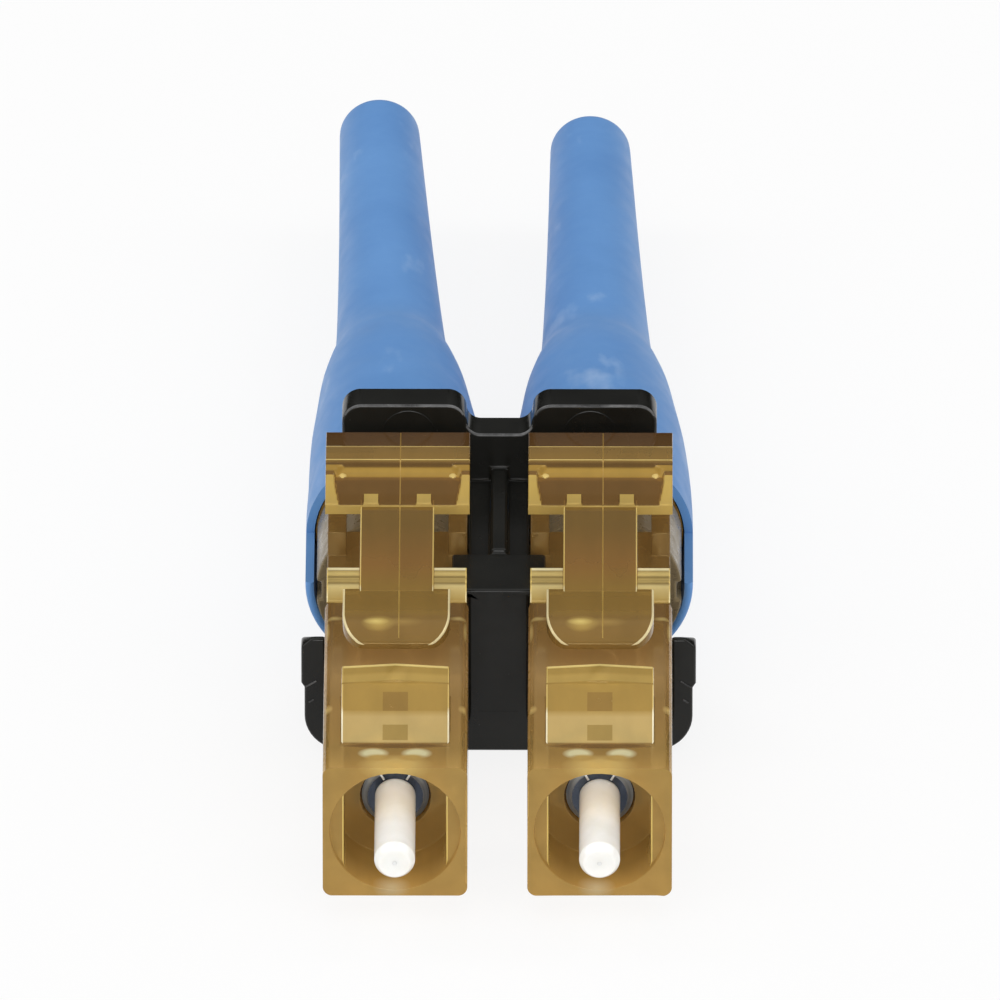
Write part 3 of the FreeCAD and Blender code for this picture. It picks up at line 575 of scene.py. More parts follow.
def cross_pin(radius, half, depth, z, steps=32):
    """A round pin along x."""
    mesh = bmesh.new()
    outline = [(depth + radius * c, z + radius * s) for c, s in circle(steps)]
    return skin(mesh, [[mesh.verts.new((x, y, z)) for y, z in outline] for x in (-half, half)])


def lathe(profile, steps):
    """A ring of revolution about the plug's axis from a closed outline of (radius, depth)."""
    mesh = bmesh.new()
    rings = []
    for c, s in circle(steps):
        rings.append([mesh.verts.new((r * c, depth, r * s)) for r, depth in profile])
    count = len(profile)
    for step in range(steps):
        ring, following = rings[step], rings[(step + 1) % steps]
        for i in range(count):
            j = (i + 1) % count
            mesh.faces.new((ring[i], ring[j], following[j], following[i]))
    bmesh.ops.recalc_face_normals(mesh, faces=mesh.faces)
    return mesh


def cut(mesh, tool):
    """Take one mesh away from another; both are used up."""
    objects = [add_object("scratch", mesh_data("scratch", part)) for part in (mesh, tool)]
    modifier = objects[0].modifiers.new("cut", "BOOLEAN")
    modifier.object = objects[1]
    modifier.operation = "DIFFERENCE"
    modifier.solver = "EXACT"
    graph = bpy.context.evaluated_depsgraph_get()
    result = bmesh.new()
    result.from_mesh(objects[0].evaluated_get(graph).to_mesh())
    for item in objects:
        data = item.data
        bpy.data.objects.remove(item)
        bpy.data.meshes.remove(data)
    bmesh.ops.remove_doubles(result, verts=result.verts, dist=WELD)
    return result


def joined(meshes):
    """Several closed shells as one mesh; all are used up."""
    result = bmesh.new()
    for mesh in meshes:
        data = mesh_data("scratch", mesh)
        result.from_mesh(data)
        bpy.data.meshes.remove(data)
    return result


def to_plug(mesh, x):
    """Move a mesh from the shared frame to a plug's own axis."""
    bmesh.ops.translate(mesh, vec=(-x, FRONT_TO_ORIGIN, -AXIS_HEIGHT), verts=mesh.verts)
    return mesh


def to_frame(mesh, x):
    """Move a mesh from a plug's own axis to the shared frame."""
    bmesh.ops.translate(mesh, vec=(x, -FRONT_TO_ORIGIN, AXIS_HEIGHT), verts=mesh.verts)
    return mesh


def smooth_line(points, per_span=8):
    """A monotone cubic through (depth, radius) points."""
    count = len(points)
    slopes = []
    for (d0, r0), (d1, r1) in zip(points, points[1:]):
        slopes.append((r1 - r0) / (d1 - d0))
    tangents = [slopes[0]]
    for a, b in zip(slopes, slopes[1:]):
        tangents.append(0.0 if a * b <= 0 else 2 * a * b / (a + b))
    tangents.append(slopes[-1])
    line = []
    for i in range(count - 1):
        (d0, r0), (d1, r1) = points[i], points[i + 1]
        span = d1 - d0
        for step in range(per_span):
            t = step / per_span
            h00 = 2 * t**3 - 3 * t**2 + 1
            h10 = t**3 - 2 * t**2 + t
            h01 = -2 * t**3 + 3 * t**2
            h11 = t**3 - t**2
            r = h00 * r0 + h10 * span * tangents[i] + h01 * r1 + h11 * span * tangents[i + 1]
            line.append((d0 + span * t, r))
    line.append(points[-1])
    return line


def arc_points(centre, radius, start, end, steps):
    """Points of an arc in a (radius, depth) outline, angles in degrees."""
    points = []
    for step in range(steps + 1):
        angle = math.radians(start + (end - start) * step / steps)
        c, s = math.cos(angle), math.sin(angle)
        points.append((centre[0] + radius * c, centre[1] + radius * s))
    return points


def within(value, span):
    return span[0] < value < span[1]


def piece(name, mesh, slot, body, replaces=(), extras=(), smooth_angle=40, weighted=True):
    """Turn a mesh in millimetres into a piece that rides on a CAD body."""
    bmesh.ops.scale(mesh, vec=(MM,) * 3, verts=mesh.verts)
    limit = math.radians(smooth_angle)
    for face in mesh.faces:
        face.smooth = True
    for edge in mesh.edges:
        edge.smooth = len(edge.link_faces) == 2 and edge.calc_face_angle(0) < limit
    data = mesh_data(name, mesh)
    for material in (slot, *extras):
        data.materials.append(MATERIALS[material])
    item = add_object(name, data)
    if weighted:
        normals = item.modifiers.new("normals", "WEIGHTED_NORMAL")
        normals.keep_sharp = True
    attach(item, body)
    if replaces:
        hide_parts(*replaces)
    return item


# Housing: CAD shape with rounded edges, its faces sorted by tone of painted light and shade

SHELL_ROUND, SHELL_ROUND_DEGREES, SHELL_ROUND_SHORTEST = 0.05, 30, 0.12
NOSE_DEPTHS, NOSE_FOOT = (1.45, 4.7), 2.25
NOSE_CORE, NOSE_CORE_SLACK = 0.385, 0.01
NOSE_WINDOWS = ((1.62, 2.04), (2.42, 3.15))
NOSE_EDGE_X, NOSE_EDGE_RISE = 1.55, 0.2
POCKET_DEPTHS, POCKET_HEIGHTS = (2.15, 4.15), (1.7, 2.6)
MOUTH_FLAT_X, MOUTH_FLAT_DEPTHS, MOUTH_FLAT_HALF = (1.52, 1.63), (0.15, 0.3), 1.3
SIDE_EDGE_X = 2.14
EDGE_TILT = (0.2, 0.97)


def in_nose(face):
    centre = face.calc_center_median()
    return within(centre.y, NOSE_DEPTHS) and centre.z > NOSE_FOOT


def split_nose(mesh, point, normal):
    """Cut the nose's faces along a plane without changing their shape."""
    faces = [face for face in mesh.faces if in_nose(face)]
    edges = dict.fromkeys(edge for face in faces for edge in face.edges)
    verts = dict.fromkeys(vert for face in faces for vert in face.verts)
    geometry = [*verts, *edges, *faces]
    bmesh.ops.bisect_plane(mesh, geom=geometry, dist=WELD, plane_co=point, plane_no=normal)


def shell_tone(face):
    """Which of the shell's materials a face has: painted shade in and over the pocket, painted
    highlights on the nose's and mouth's edges, the nose's painted tones, and a weaker reflection
    on the side edges.
    """
    centre, normal = face.calc_center_median(), face.normal
    across, nose = abs(centre.x), in_nose(face)
    tilted = within(abs(normal.x), EDGE_TILT)
    # The nose's tilted side edges carry a painted highlight
    if nose and tilted and normal.z > NOSE_EDGE_RISE and across > NOSE_EDGE_X:
        return SHELL_NOSE_HIGHLIGHT
    if tilted and across > SIDE_EDGE_X:
        return SHELL_SIDE_EDGE
    # Faces in and over the pocket get its painted shade
    if across < NOSE_CORE + NOSE_CORE_SLACK:
        if within(centre.y, POCKET_DEPTHS) and within(centre.z, POCKET_HEIGHTS):
            return SHELL_POCKET_SHADE
        if nose and any(within(centre.y, window) for window in NOSE_WINDOWS):
            return SHELL_POCKET_SHADE
    if nose:
        return SHELL_NOSE
    # The mouth's flat inner walls get a bright painted highlight
    on_flat = within(across, MOUTH_FLAT_X) and within(centre.y, MOUTH_FLAT_DEPTHS)
    if on_flat and abs(centre.z) < MOUTH_FLAT_HALF:
        return SHELL_MOUTH_HIGHLIGHT
    return 0


def make_housing(side, x):
    mesh = to_plug(node_mesh(f"housing_{side}"), x)
    edges = sharp_edges(mesh, SHELL_ROUND_DEGREES, SHELL_ROUND_SHORTEST)
    round_edges(mesh, edges, SHELL_ROUND)
    for turn in MIRROR:
        split_nose(mesh, (turn * NOSE_CORE, 0, 0), (1, 0, 0))
    for window in NOSE_WINDOWS:
        for depth in window:
            split_nose(mesh, (0, depth, 0), (0, 1, 0))
    mesh.normal_update()
    for face in mesh.faces:
        face.material_index = shell_tone(face)
    piece(
        f"plug_shell_{side}",
        to_frame(mesh, x),
        "amber_shell",
        "connector",
        [f"housing_{side}"],
        SHELL_EXTRAS,
    )


# Latch: bars with rounded edges whose outline follows the depth

EDGE_STEPS = (0, 0.06, 0.2, 0.42, 0.7, 1.0)
RIM_ROWS = len(EDGE_STEPS) - 1
THINNEST = 0.01


def along(points, place):
    """Straight-line reading of a curve given as (place, value) points."""
    if place <= points[0][0]:
        return points[0][1]
    for (p0, v0), (p1, v1) in zip(points, points[1:]):
        if place <= p1:
            return v0 + (v1 - v0) * (place - p0) / (p1 - p0)
    return points[-1][1]


def ease(value, start, end):
    """Smooth step from 0 at start to 1 at end."""
    t = min(1.0, max(0.0, (value - start) / (end - start)))
    return t * t * (3 - 2 * t)


def edge_drop(inside, radius):
    """How far a rounded edge falls at a distance inside its border."""
    if inside >= radius:
        return 0.0
    return radius - math.sqrt(max(0.0, radius**2 - (radius - inside) ** 2))


def spaced(start, end, step, radius):
    """Evenly spaced places, closer together near both ends for the rounded edges."""
    near = [radius * share for share in EDGE_STEPS]
    run = end - start - 2 * radius
    count = max(2, math.ceil(run / step))
    middle = [start + radius + run * i / count for i in range(1, count)]
    return [start + n for n in near] + middle + [end - n for n in reversed(near)]


def follow(points):
    """A height that follows (depth, z) points and is the same all across."""
    return lambda depth, x=0.0: along(points, depth)


def constant(value):
    return lambda depth: value


def slab(start, end, half, top, bottom, radius, step=0.12, across=0.12, rim=0):
    """A bar with rounded top edges.

    Its half width, top and underside follow the depth. The step and across are the
    spacing of its faces, and rim is the material of its side edges, which on the
    tongue, strip and ears is the painted edge highlight.
    """
    mesh = bmesh.new()
    rows = spaced(start, end, step, radius)
    middle_half = half(rows[len(rows) // 2])
    columns = spaced(-1.0, 1.0, across / middle_half, radius / middle_half)
    upper, lower = [], []
    for depth in rows:
        wide, floor = half(depth), bottom(depth)
        top_row, low_row = [], []
        for column in columns:
            x = column * wide
            inside = min(wide - abs(x), depth - start, end - depth)
            z = max(floor + THINNEST, top(depth, x) - edge_drop(inside, radius))
            top_row.append(mesh.verts.new((x, depth, z)))
            low_row.append(mesh.verts.new((x, depth, floor)))
        upper.append(top_row)
        lower.append(low_row)
    last = len(columns) - 1
    for up, up_next, low, low_next in zip(upper, upper[1:], lower, lower[1:]):
        for j in range(last):
            face = mesh.faces.new((up[j], up[j + 1], up_next[j + 1], up_next[j]))
            if j < RIM_ROWS or j >= last - RIM_ROWS:
                face.material_index = rim
            mesh.faces.new((low[j], low_next[j], low_next[j + 1], low[j + 1]))
        mesh.faces.new((up[0], up_next[0], low_next[0], low[0]))
        mesh.faces.new((up_next[last], up[last], low[last], low_next[last]))
    for j in range(last):
        mesh.faces.new((upper[0][j + 1], upper[0][j], lower[0][j], lower[0][j + 1]))
        mesh.faces.new((upper[-1][j], upper[-1][j + 1], lower[-1][j + 1], lower[-1][j]))
    return mesh


def seam(line, x, half=0.03, rise=0.012):
    """A fine raised line along a profile of (depth, z) points."""
    mesh = bmesh.new()
    rows = []
    for depth, z in line:
        corners = ((x - half, z - rise), (x, z + rise), (x + half, z - rise))
        rows.append([mesh.verts.new((across, depth, height)) for across, height in corners])
    skin(mesh, rows)
    # The line is coloured with its painted highlight
    tint(mesh, LATCH_SEAM_HIGHLIGHT)
    return mesh


# Latch sizes: depths and heights of its outline seen from the side
TONGUE_TIP, TONGUE_END, TONGUE_HALF, TONGUE_ROUND = 6.75, 9.5, 1.65, 0.065
TONGUE_CORNER_RUN, TONGUE_CORNER_WIDE = 1.15, 0.65
TONGUE_TOP = [
    (6.75, 2.95), (6.9, 3.06), (7.1, 3.16), (7.35, 3.26),
    (7.65, 3.34), (8.0, 3.39), (8.4, 3.4),
]
TONGUE_LOW = [(6.75, 2.75), (7.85, 2.98)]
STRIP_START, STRIP_END, STRIP_HALF, STRIP_ROUND = 9.3, 14.42, 1.135, 0.04
STRIP_STEP = 0.3
STRIP_TOP = [(9.4, 3.41), (14.0, 3.86), (14.42, 3.86)]
STRIP_LOW = [(9.4, 2.98), (14.0, 3.44)]
EAR_START, EAR_END, EAR_HALF, EAR_ROUND = 9.4, 10.95, 2.15, 0.04
EAR_STEP, EAR_ACROSS = 0.03, 0.2
EAR_LOW = 2.94
EAR_SLOPE = [(9.4, 3.0), (9.46, 3.08), (9.72, 3.32), (9.8, 3.36)]
EAR_RIDGES, EAR_RIDGE_RISE, EAR_RIDGE_FLANK = ((9.98, 10.2), (10.44, 10.68)), 0.04, 0.03
PAD_START, PAD_END, PAD_HALF, PAD_ROUND = 14.0, 18.7, 2.225, 0.045
PAD_STEP, PAD_ACROSS = 0.03, 0.04
PAD_LOW = 3.6
PAD_CREST = [(17.33, 4.16), (17.4, 4.15), (18.7, 4.0)]
PAD_RAIL = [(14.0, 3.95), (16.43, 4.1), (16.47, 4.16), *PAD_CREST]
PAD_SCOOP = [
    (14.0, 3.92), (14.8, 3.87), (15.9, 3.84), (16.08, 3.85), (16.2, 3.89),
    (16.3, 3.95), (16.38, 4.03), (16.44, 4.12), (16.48, 4.16), *PAD_CREST,
]
SCOOP_HALF = 1.95
SCOOP_REAR_TAPER, SCOOP_REAR = 0.3, (16.0, 16.45)
SCOOP_FRONT_TAPER, SCOOP_FRONT = 0.14, (13.6, 15.7)
RAIL_INSIDE, RAIL_OUTSIDE, RAIL_TINT_END = 0.06, 0.04, 15.75
GUSSET_X, GUSSET_END, GUSSET_TOP, GUSSET_TINT_Z = (0.57, 1.07), 14.62, 3.985, 3.95
PAD_BEADS, BEAD_HALF, BEAD_RISE = (16.53, 17.42), 0.06, 0.025
BEAD_TINT_HALF, BEAD_TINT_Z = 0.035, 4
KNOB_X, KNOB_DEPTH, KNOB_RADIUS, KNOB_RISE, KNOB_TINT_Z = 1.7, 16.05, 0.11, 0.06, 3.8
PAD_FACE_SLACK = 0.01
ROOT_LOW, ROOT_HIGH = (-1.49, 17.45, 2.75), (1.49, 18.05, 3.65)
PIN_RADIUS, PIN_HALF, PIN_DEPTH, PIN_Z = 0.22, 2.15, 17.75, 3.05
SEAM_X, REAR_SEAM, REAR_SEAM_STEP, REAR_SEAM_ROUND = 0.08, (14.05, 18.6), 0.04, 0.05


def tongue_half(depth):
    run = min(1.0, max(0.0, (depth - TONGUE_TIP) / TONGUE_CORNER_RUN))
    return TONGUE_HALF - TONGUE_CORNER_WIDE * (1 - math.sqrt(1 - (1 - run) ** 2))


def ear_top(depth, x):
    top = along(EAR_SLOPE, depth)
    flank = EAR_RIDGE_FLANK
    for start, end in EAR_RIDGES:
        rise = ease(depth, start - flank, start + flank)
        fall = ease(depth, end - flank, end + flank)
        top += EAR_RIDGE_RISE * (rise - fall)
    return top


def scoop_half(depth):
    """Half width of the pad's scoop between its side rails."""
    rear = SCOOP_REAR_TAPER * ease(depth, *SCOOP_REAR)
    front = SCOOP_FRONT_TAPER * (1 - ease(depth, *SCOOP_FRONT))
    return SCOOP_HALF - rear - front


def pad_top(depth, x):
    inner = scoop_half(depth)
    rail = ease(abs(x), inner - RAIL_INSIDE, inner + RAIL_OUTSIDE)
    top = along(PAD_SCOOP, depth) * (1 - rail) + along(PAD_RAIL, depth) * rail
    if depth < GUSSET_END and within(abs(x), GUSSET_X):
        top = max(top, GUSSET_TOP)
    for place in PAD_BEADS:
        top += BEAD_RISE * max(0.0, 1 - ((depth - place) / BEAD_HALF) ** 2)
    off = math.hypot(abs(x) - KNOB_X, depth - KNOB_DEPTH) / KNOB_RADIUS
    return top + KNOB_RISE * math.sqrt(max(0.0, 1 - off * off))


def pad_tone(face):
    """Which of the latch's materials a face of the pad has: the beads and knobs get the painted
    edge highlight, the rails, front face and gusset tops the pad's painted highlight.
    """
    centre = face.calc_center_median()
    across, depth, height = abs(centre.x), centre.y, centre.z
    on_bead = any(abs(depth - place) < BEAD_TINT_HALF for place in PAD_BEADS)
    on_knob = math.hypot(across - KNOB_X, depth - KNOB_DEPTH) < KNOB_RADIUS
    if (on_bead and height > BEAD_TINT_Z) or (on_knob and height > KNOB_TINT_Z):
        return LATCH_EDGE_HIGHLIGHT
    on_front = depth < PAD_START + PAD_FACE_SLACK
    if depth < RAIL_TINT_END and (across > scoop_half(depth) or on_front):
        return LATCH_PAD_HIGHLIGHT
    if depth < GUSSET_END and height > GUSSET_TINT_Z and within(across, GUSSET_X):
        return LATCH_PAD_HIGHLIGHT
    return 0


def make_tongue():
    heights = follow(TONGUE_TOP), follow(TONGUE_LOW)
    return slab(TONGUE_TIP, TONGUE_END, tongue_half, *heights, TONGUE_ROUND, rim=LATCH_EDGE_HIGHLIGHT)


def make_strip():
    heights = follow(STRIP_TOP), follow(STRIP_LOW)
    shape = (STRIP_START, STRIP_END, constant(STRIP_HALF), *heights, STRIP_ROUND)
    return slab(*shape, STRIP_STEP, rim=LATCH_EDGE_HIGHLIGHT)


def make_ears():
    shape = (EAR_START, EAR_END, constant(EAR_HALF), ear_top, constant(EAR_LOW), EAR_ROUND)
    ears = slab(*shape, EAR_STEP, EAR_ACROSS, rim=LATCH_EDGE_HIGHLIGHT)
    # The ears' tops outside the strip get their painted highlight and shade bands
    for face in ears.faces:
        if abs(face.calc_center_median().x) > STRIP_HALF and face.material_index == 0:
            face.material_index = LATCH_EAR_LIGHT_AND_SHADE
    return ears


def make_pad():
    shape = (PAD_START, PAD_END, constant(PAD_HALF), pad_top, constant(PAD_LOW), PAD_ROUND)
    pad = slab(*shape, PAD_STEP, PAD_ACROSS)
    for face in pad.faces:
        face.material_index = pad_tone(face)
    return pad


def make_latch(side, x):
    rear_depths = spaced(*REAR_SEAM, REAR_SEAM_STEP, REAR_SEAM_ROUND)
    parts = [
        make_tongue(),
        make_strip(),
        make_ears(),
        make_pad(),
        box_mesh(ROOT_LOW, ROOT_HIGH),
        cross_pin(PIN_RADIUS, PIN_HALF, PIN_DEPTH, PIN_Z),
        seam(TONGUE_TOP[1:] + STRIP_TOP[:2], SEAM_X),
        seam([(depth, pad_top(depth, SEAM_X)) for depth in rear_depths], SEAM_X),
    ]
    arm = to_frame(joined(parts), x)
    bmesh.ops.recalc_face_normals(arm, faces=arm.faces)
    shape = piece(
        f"latch_arm_shape_{side}",
        arm,
        "amber_latch",
        f"latch_arm_{side}",
        [f"latch_{side}"],
        LATCH_EXTRAS,
        weighted=False,
    )
    # The thin clear arm lets the lamps through to the shell below it,
    # which casts the shadow on the floor
    shape.visible_shadow = False


# Ferrule: a turned rod with a rounded tip

FERRULE_TIP, FERRULE_END, FERRULE_RADIUS = -2.05, 3.68, 0.625
FERRULE_STEPS = 64
FIBRE_HOLE = 0.0665
TIP_DISH, TIP_FLAT = 0.004, 0.3
TIP_ROUND, TIP_ROUND_AT = 0.12, 0.4
SHOULDER_ROUND, SHOULDER_AT, SHOULDER_BACK = 0.125, 0.5, 0.3
ROD_START, ROD_END, SHANK_RADIUS = 0.2, 2.28, 0.605


def make_ferrule(side, x):
    tip = FERRULE_TIP
    outline = [(FIBRE_HOLE, tip + TIP_DISH), (TIP_FLAT, tip)]
    outline += arc_points((TIP_ROUND_AT, tip + TIP_ROUND), TIP_ROUND, start=-90, end=-20, steps=4)
    shoulder = (SHOULDER_AT, tip + SHOULDER_BACK)
    outline += arc_points(shoulder, SHOULDER_ROUND, start=-25, end=0, steps=3)
    outline += [(FERRULE_RADIUS, ROD_START), (FERRULE_RADIUS, ROD_END)]
    outline += [(SHANK_RADIUS, FERRULE_END), (FIBRE_HOLE, FERRULE_END)]
    mesh = to_frame(lathe(outline, FERRULE_STEPS), x)
    body = f"ferrule_unit_{side}"
    piece(f"ferrule_rod_{side}", mesh, "white_ceramic", body, [f"ferrule_{side}"])


# Ferrule holder: CAD shape whose collar has a paler rim of painted light and ribs in a bright
# painted highlight

COLLAR_RIBS = (-30, 30, 150, 210)
RIB_LOW, RIB_HIGH, RIB_ROUND = (-0.035, 2.25, 0.68), (0.035, 2.4, 0.98), 0.015
RIM_END, RIM_RADIUS = 2.5, 0.86
HOLDER_SMOOTH = 25


def make_rib(turn):
    rib = box_mesh(RIB_LOW, RIB_HIGH)
    round_edges(rib, list(rib.edges), RIB_ROUND)
    matrix = Matrix.Rotation(math.radians(turn), 3, "Y")
    bmesh.ops.rotate(rib, verts=rib.verts, matrix=matrix)
    tint(rib, COLLAR_RIB_HIGHLIGHT)
    return rib


def make_holder(side, x):
    mesh = to_plug(node_mesh(f"ferrule_holder_{side}"), x)
    # The collar's outer rim gets the paler nickel of painted light
    for face in mesh.faces:
        centre = face.calc_center_median()
        if centre.y < RIM_END and math.hypot(centre.x, centre.z) > RIM_RADIUS:
            face.material_index = COLLAR_RIM_LIGHT
    shells = [mesh] + [make_rib(turn) for turn in COLLAR_RIBS]
    piece(
        f"ferrule_collar_{side}",
        to_frame(joined(shells), x),
        "nickel_holder",
        f"ferrule_unit_{side}",
        [f"ferrule_holder_{side}"],
        COLLAR_EXTRAS,
        smooth_angle=HOLDER_SMOOTH,
    )


# Spring: round wire with half a dead turn at each end

SPRING_START, SPRING_END, SPRING_RADIUS, SPRING_TURNS = 5.15, 10.55, 1.28, 3.5
SPRING_DEAD = 0.5
SPRING_WIRE = 0.13
SPRING_STEPS, SPRING_SIDES = 132, 10


def make_spring(side, x):
    mesh = bmesh.new()
    run = SPRING_END - SPRING_START - 2 * SPRING_WIRE
    loops = []
    for step in range(SPRING_STEPS + 1):
        turned = SPRING_TURNS * step / SPRING_STEPS
        share = min(1.0, max(0.0, (turned - SPRING_DEAD) / (SPRING_TURNS - 2 * SPRING_DEAD)))
        depth = SPRING_START + SPRING_WIRE + run * share
        c, s = math.cos(2 * math.pi * turned), math.sin(2 * math.pi * turned)
        loop = []
        for out, back in circle(SPRING_SIDES):
            r = SPRING_RADIUS + SPRING_WIRE * out
            loop.append(mesh.verts.new((r * c, depth + SPRING_WIRE * back, r * s)))
        loops.append(loop)
    mesh = to_frame(skin(mesh, loops), x)
    item = piece(f"spring_coil_{side}", mesh, "spring_wire", "connector", [f"spring_{side}"])
    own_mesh(item)


# Cam: CAD shape with rounded edges

CAM_ROUND, CAM_ROUND_DEGREES, CAM_ROUND_SHORTEST = 0.1, 40, 0.1


def make_cam(side, x):
    mesh = node_mesh(f"cam_{side}")
    round_edges(mesh, sharp_edges(mesh, CAM_ROUND_DEGREES, CAM_ROUND_SHORTEST), CAM_ROUND)
    piece(f"cam_ring_shape_{side}", mesh, "smoke_cam", f"cam_ring_{side}", [f"cam_{side}"])


# Boot: a turned sleeve, open on top at the front, whose tail swings aside

BOOT_LINE = [
    (16.3, 2.86), (20.0, 2.86), (22.0, 2.81), (24.6, 2.68), (27.0, 2.44), (28.6, 2.26),
    (30.0, 2.0), (30.8, 1.82), (31.5, 1.73), (32.6, 1.67), (38.0, 1.47), (45.5, 1.26),
]
BOOT_FRONT, BOOT_BEND, BOOT_TIP = 16.1, 22.1, 45.9
BOOT_STEPS, BOOT_SMOOTH = 96, 50
TIP_SWING = {"left": (-0.75, 0.43), "right": (-0.36, -0.14)}
LIP_INSIDE, LIP_ROUND, LIP_ROUND_AT = 2.66, 0.14, 2.72
TAIL_ROUND, TAIL_ROUND_AT, TAIL_INSIDE, TAIL_FLARE = 0.25, 1.0, 0.95, 0.1
BARREL_ROOM, BARREL_ROOM_END, BARREL_FLARE = 2.6, 22.54, 0.05
CRIMP_ROOM, CRIMP_ROOM_END = 1.92, 28.06
CABLE_HOLE = 0.85
WINDOW_END, WINDOW_FOOT, WINDOW_REACH, WINDOW_AHEAD = 19.45, 0.1, 3.2, 1


def boot_outline():
    outline = [(LIP_INSIDE, BOOT_FRONT)]
    lip = (LIP_ROUND_AT, BOOT_FRONT + LIP_ROUND)
    outline += arc_points(lip, LIP_ROUND, start=-90, end=-15, steps=4)
    outline += [(r, depth) for depth, r in smooth_line(BOOT_LINE)]
    tail = (TAIL_ROUND_AT, BOOT_TIP - TAIL_ROUND)
    outline += arc_points(tail, TAIL_ROUND, start=8, end=90, steps=5)
    outline += [(TAIL_INSIDE, BOOT_TIP), (CABLE_HOLE, BOOT_TIP - TAIL_FLARE)]
    outline += [(CABLE_HOLE, CRIMP_ROOM_END), (CRIMP_ROOM, CRIMP_ROOM_END)]
    outline += [(CRIMP_ROOM, BARREL_ROOM_END), (BARREL_ROOM, BARREL_ROOM_END)]
    return outline + [(BARREL_ROOM, BOOT_FRONT + BARREL_FLARE)]


def make_boot(side, x):
    shift, lift = TIP_SWING[side]
    window = box_mesh(
        (-WINDOW_REACH, BOOT_FRONT - WINDOW_AHEAD, WINDOW_FOOT),
        (WINDOW_REACH, WINDOW_END, WINDOW_REACH),
    )
    mesh = cut(lathe(boot_outline(), BOOT_STEPS), window)
    for vert in mesh.verts:
        run = (vert.co.y - BOOT_BEND) / (BOOT_TIP - BOOT_BEND)
        if run > 0:
            vert.co.x += shift * run
            vert.co.z += lift * run
    piece(
        f"boot_sleeve_{side}",
        to_frame(mesh, x),
        "blue_boot",
        "connector",
        [f"boot_{side}"],
        smooth_angle=BOOT_SMOOTH,
    )


# Clip: CAD shape with rounded edges, creases on its ears and arcs on its pads, and a painted
# highlight on the back wall's top front edges and on the creases

CLIP_FRONT, CLIP_BACK = 11.2, 19.0
CLIP_ROUND = 0.1
RIM_DEGREES, RIM_FOOT, RIM_SEGMENTS, ON_WALL = 60, 3.3, 4, 0.01
OUTER_DEGREES, OUTER_SHORTEST, OUTER_SEGMENTS = 35, 0.13, 3
RIM_TINT_BAND, RIM_TINT_FOOT, RIM_TINT_TILT = 0.12, 3.4, 0.25
PANEL_HALF, PANEL_BACK, PANEL_HEIGHTS, PANEL_DEPTH = 0.65, 11.4, (-1.9, 2.2), 0.012
PANEL_EDGE = 0.01
EAR_CREASES = (((5.94, -0.93), (5.6, -0.73)), ((5.85, -1.47), (5.67, -1.36)))
CREASE_HALF, CREASE_SUNK, CREASE_ROUND = 0.03, 0.06, 0.02
BACK_RING_X, BACK_RING_Z, BACK_RING_RADIUS = 2.81, 3.75, 0.82
BACK_RING_START, BACK_RING_SWEEP, BACK_RING_WIRE = 15, 150, 0.025
BACK_RING_STEPS, BACK_RING_SIDES = 40, 8


def crease(start, end, turn):
    """A fine raised line on the front of an ear, between two (x, z) points."""
    (x0, z0), (x1, z1) = start, end
    length = math.hypot(x1 - x0, z1 - z0)
    bar = box_mesh((0, -CREASE_HALF, -CREASE_HALF), (length, CREASE_SUNK, CREASE_HALF))
    round_edges(bar, list(bar.edges), CREASE_ROUND)
    matrix = Matrix.Rotation(math.atan2(z0 - z1, x1 - x0), 3, "Y")
    bmesh.ops.rotate(bar, verts=bar.verts, matrix=matrix)
    bmesh.ops.translate(bar, verts=bar.verts, vec=(x0, CLIP_FRONT, z0))
    for vert in bar.verts:
        vert.co.x *= turn
    if turn < 0:
        bmesh.ops.reverse_faces(bar, faces=bar.faces)
    # The crease is coloured with the clip's painted edge highlight
    tint(bar, CLIP_HIGHLIGHT)
    return bar


def back_ring(turn):
    """The upper part of a moulded ring that stands out of one of the pads."""
    mesh = bmesh.new()
    loops = []
    for step in range(BACK_RING_STEPS + 1):
        angle = math.radians(BACK_RING_START + BACK_RING_SWEEP * step / BACK_RING_STEPS)
        c, s = math.cos(angle), math.sin(angle)
        loop = []
        for out, back in circle(BACK_RING_SIDES):
            r = BACK_RING_RADIUS + BACK_RING_WIRE * out
            depth = CLIP_BACK + BACK_RING_WIRE * back
            loop.append(mesh.verts.new((turn * BACK_RING_X + r * c, depth, BACK_RING_Z + r * s)))
        loops.append(loop)
    return skin(mesh, loops)


def in_panel(point):
    """Whether a point is in the shallow panel on the clip's front."""
    inside = abs(point.x) < PANEL_HALF and within(point.z, PANEL_HEIGHTS)
    return inside and point.y < PANEL_BACK


def on_back_rim(edge):
    ends = [vert.co for vert in edge.verts]
    return all(abs(end.y - CLIP_BACK) < ON_WALL and end.z > RIM_FOOT for end in ends)


def round_clip(mesh):
    rim = [edge for edge in sharp_edges(mesh, RIM_DEGREES) if on_back_rim(edge)]
    round_edges(mesh, rim, CLIP_ROUND, RIM_SEGMENTS)
    outer = [
        edge
        for edge in sharp_edges(mesh, OUTER_DEGREES, OUTER_SHORTEST)
        if not all(in_panel(vert.co) for vert in edge.verts)
    ]
    round_edges(mesh, outer, CLIP_ROUND, OUTER_SEGMENTS)


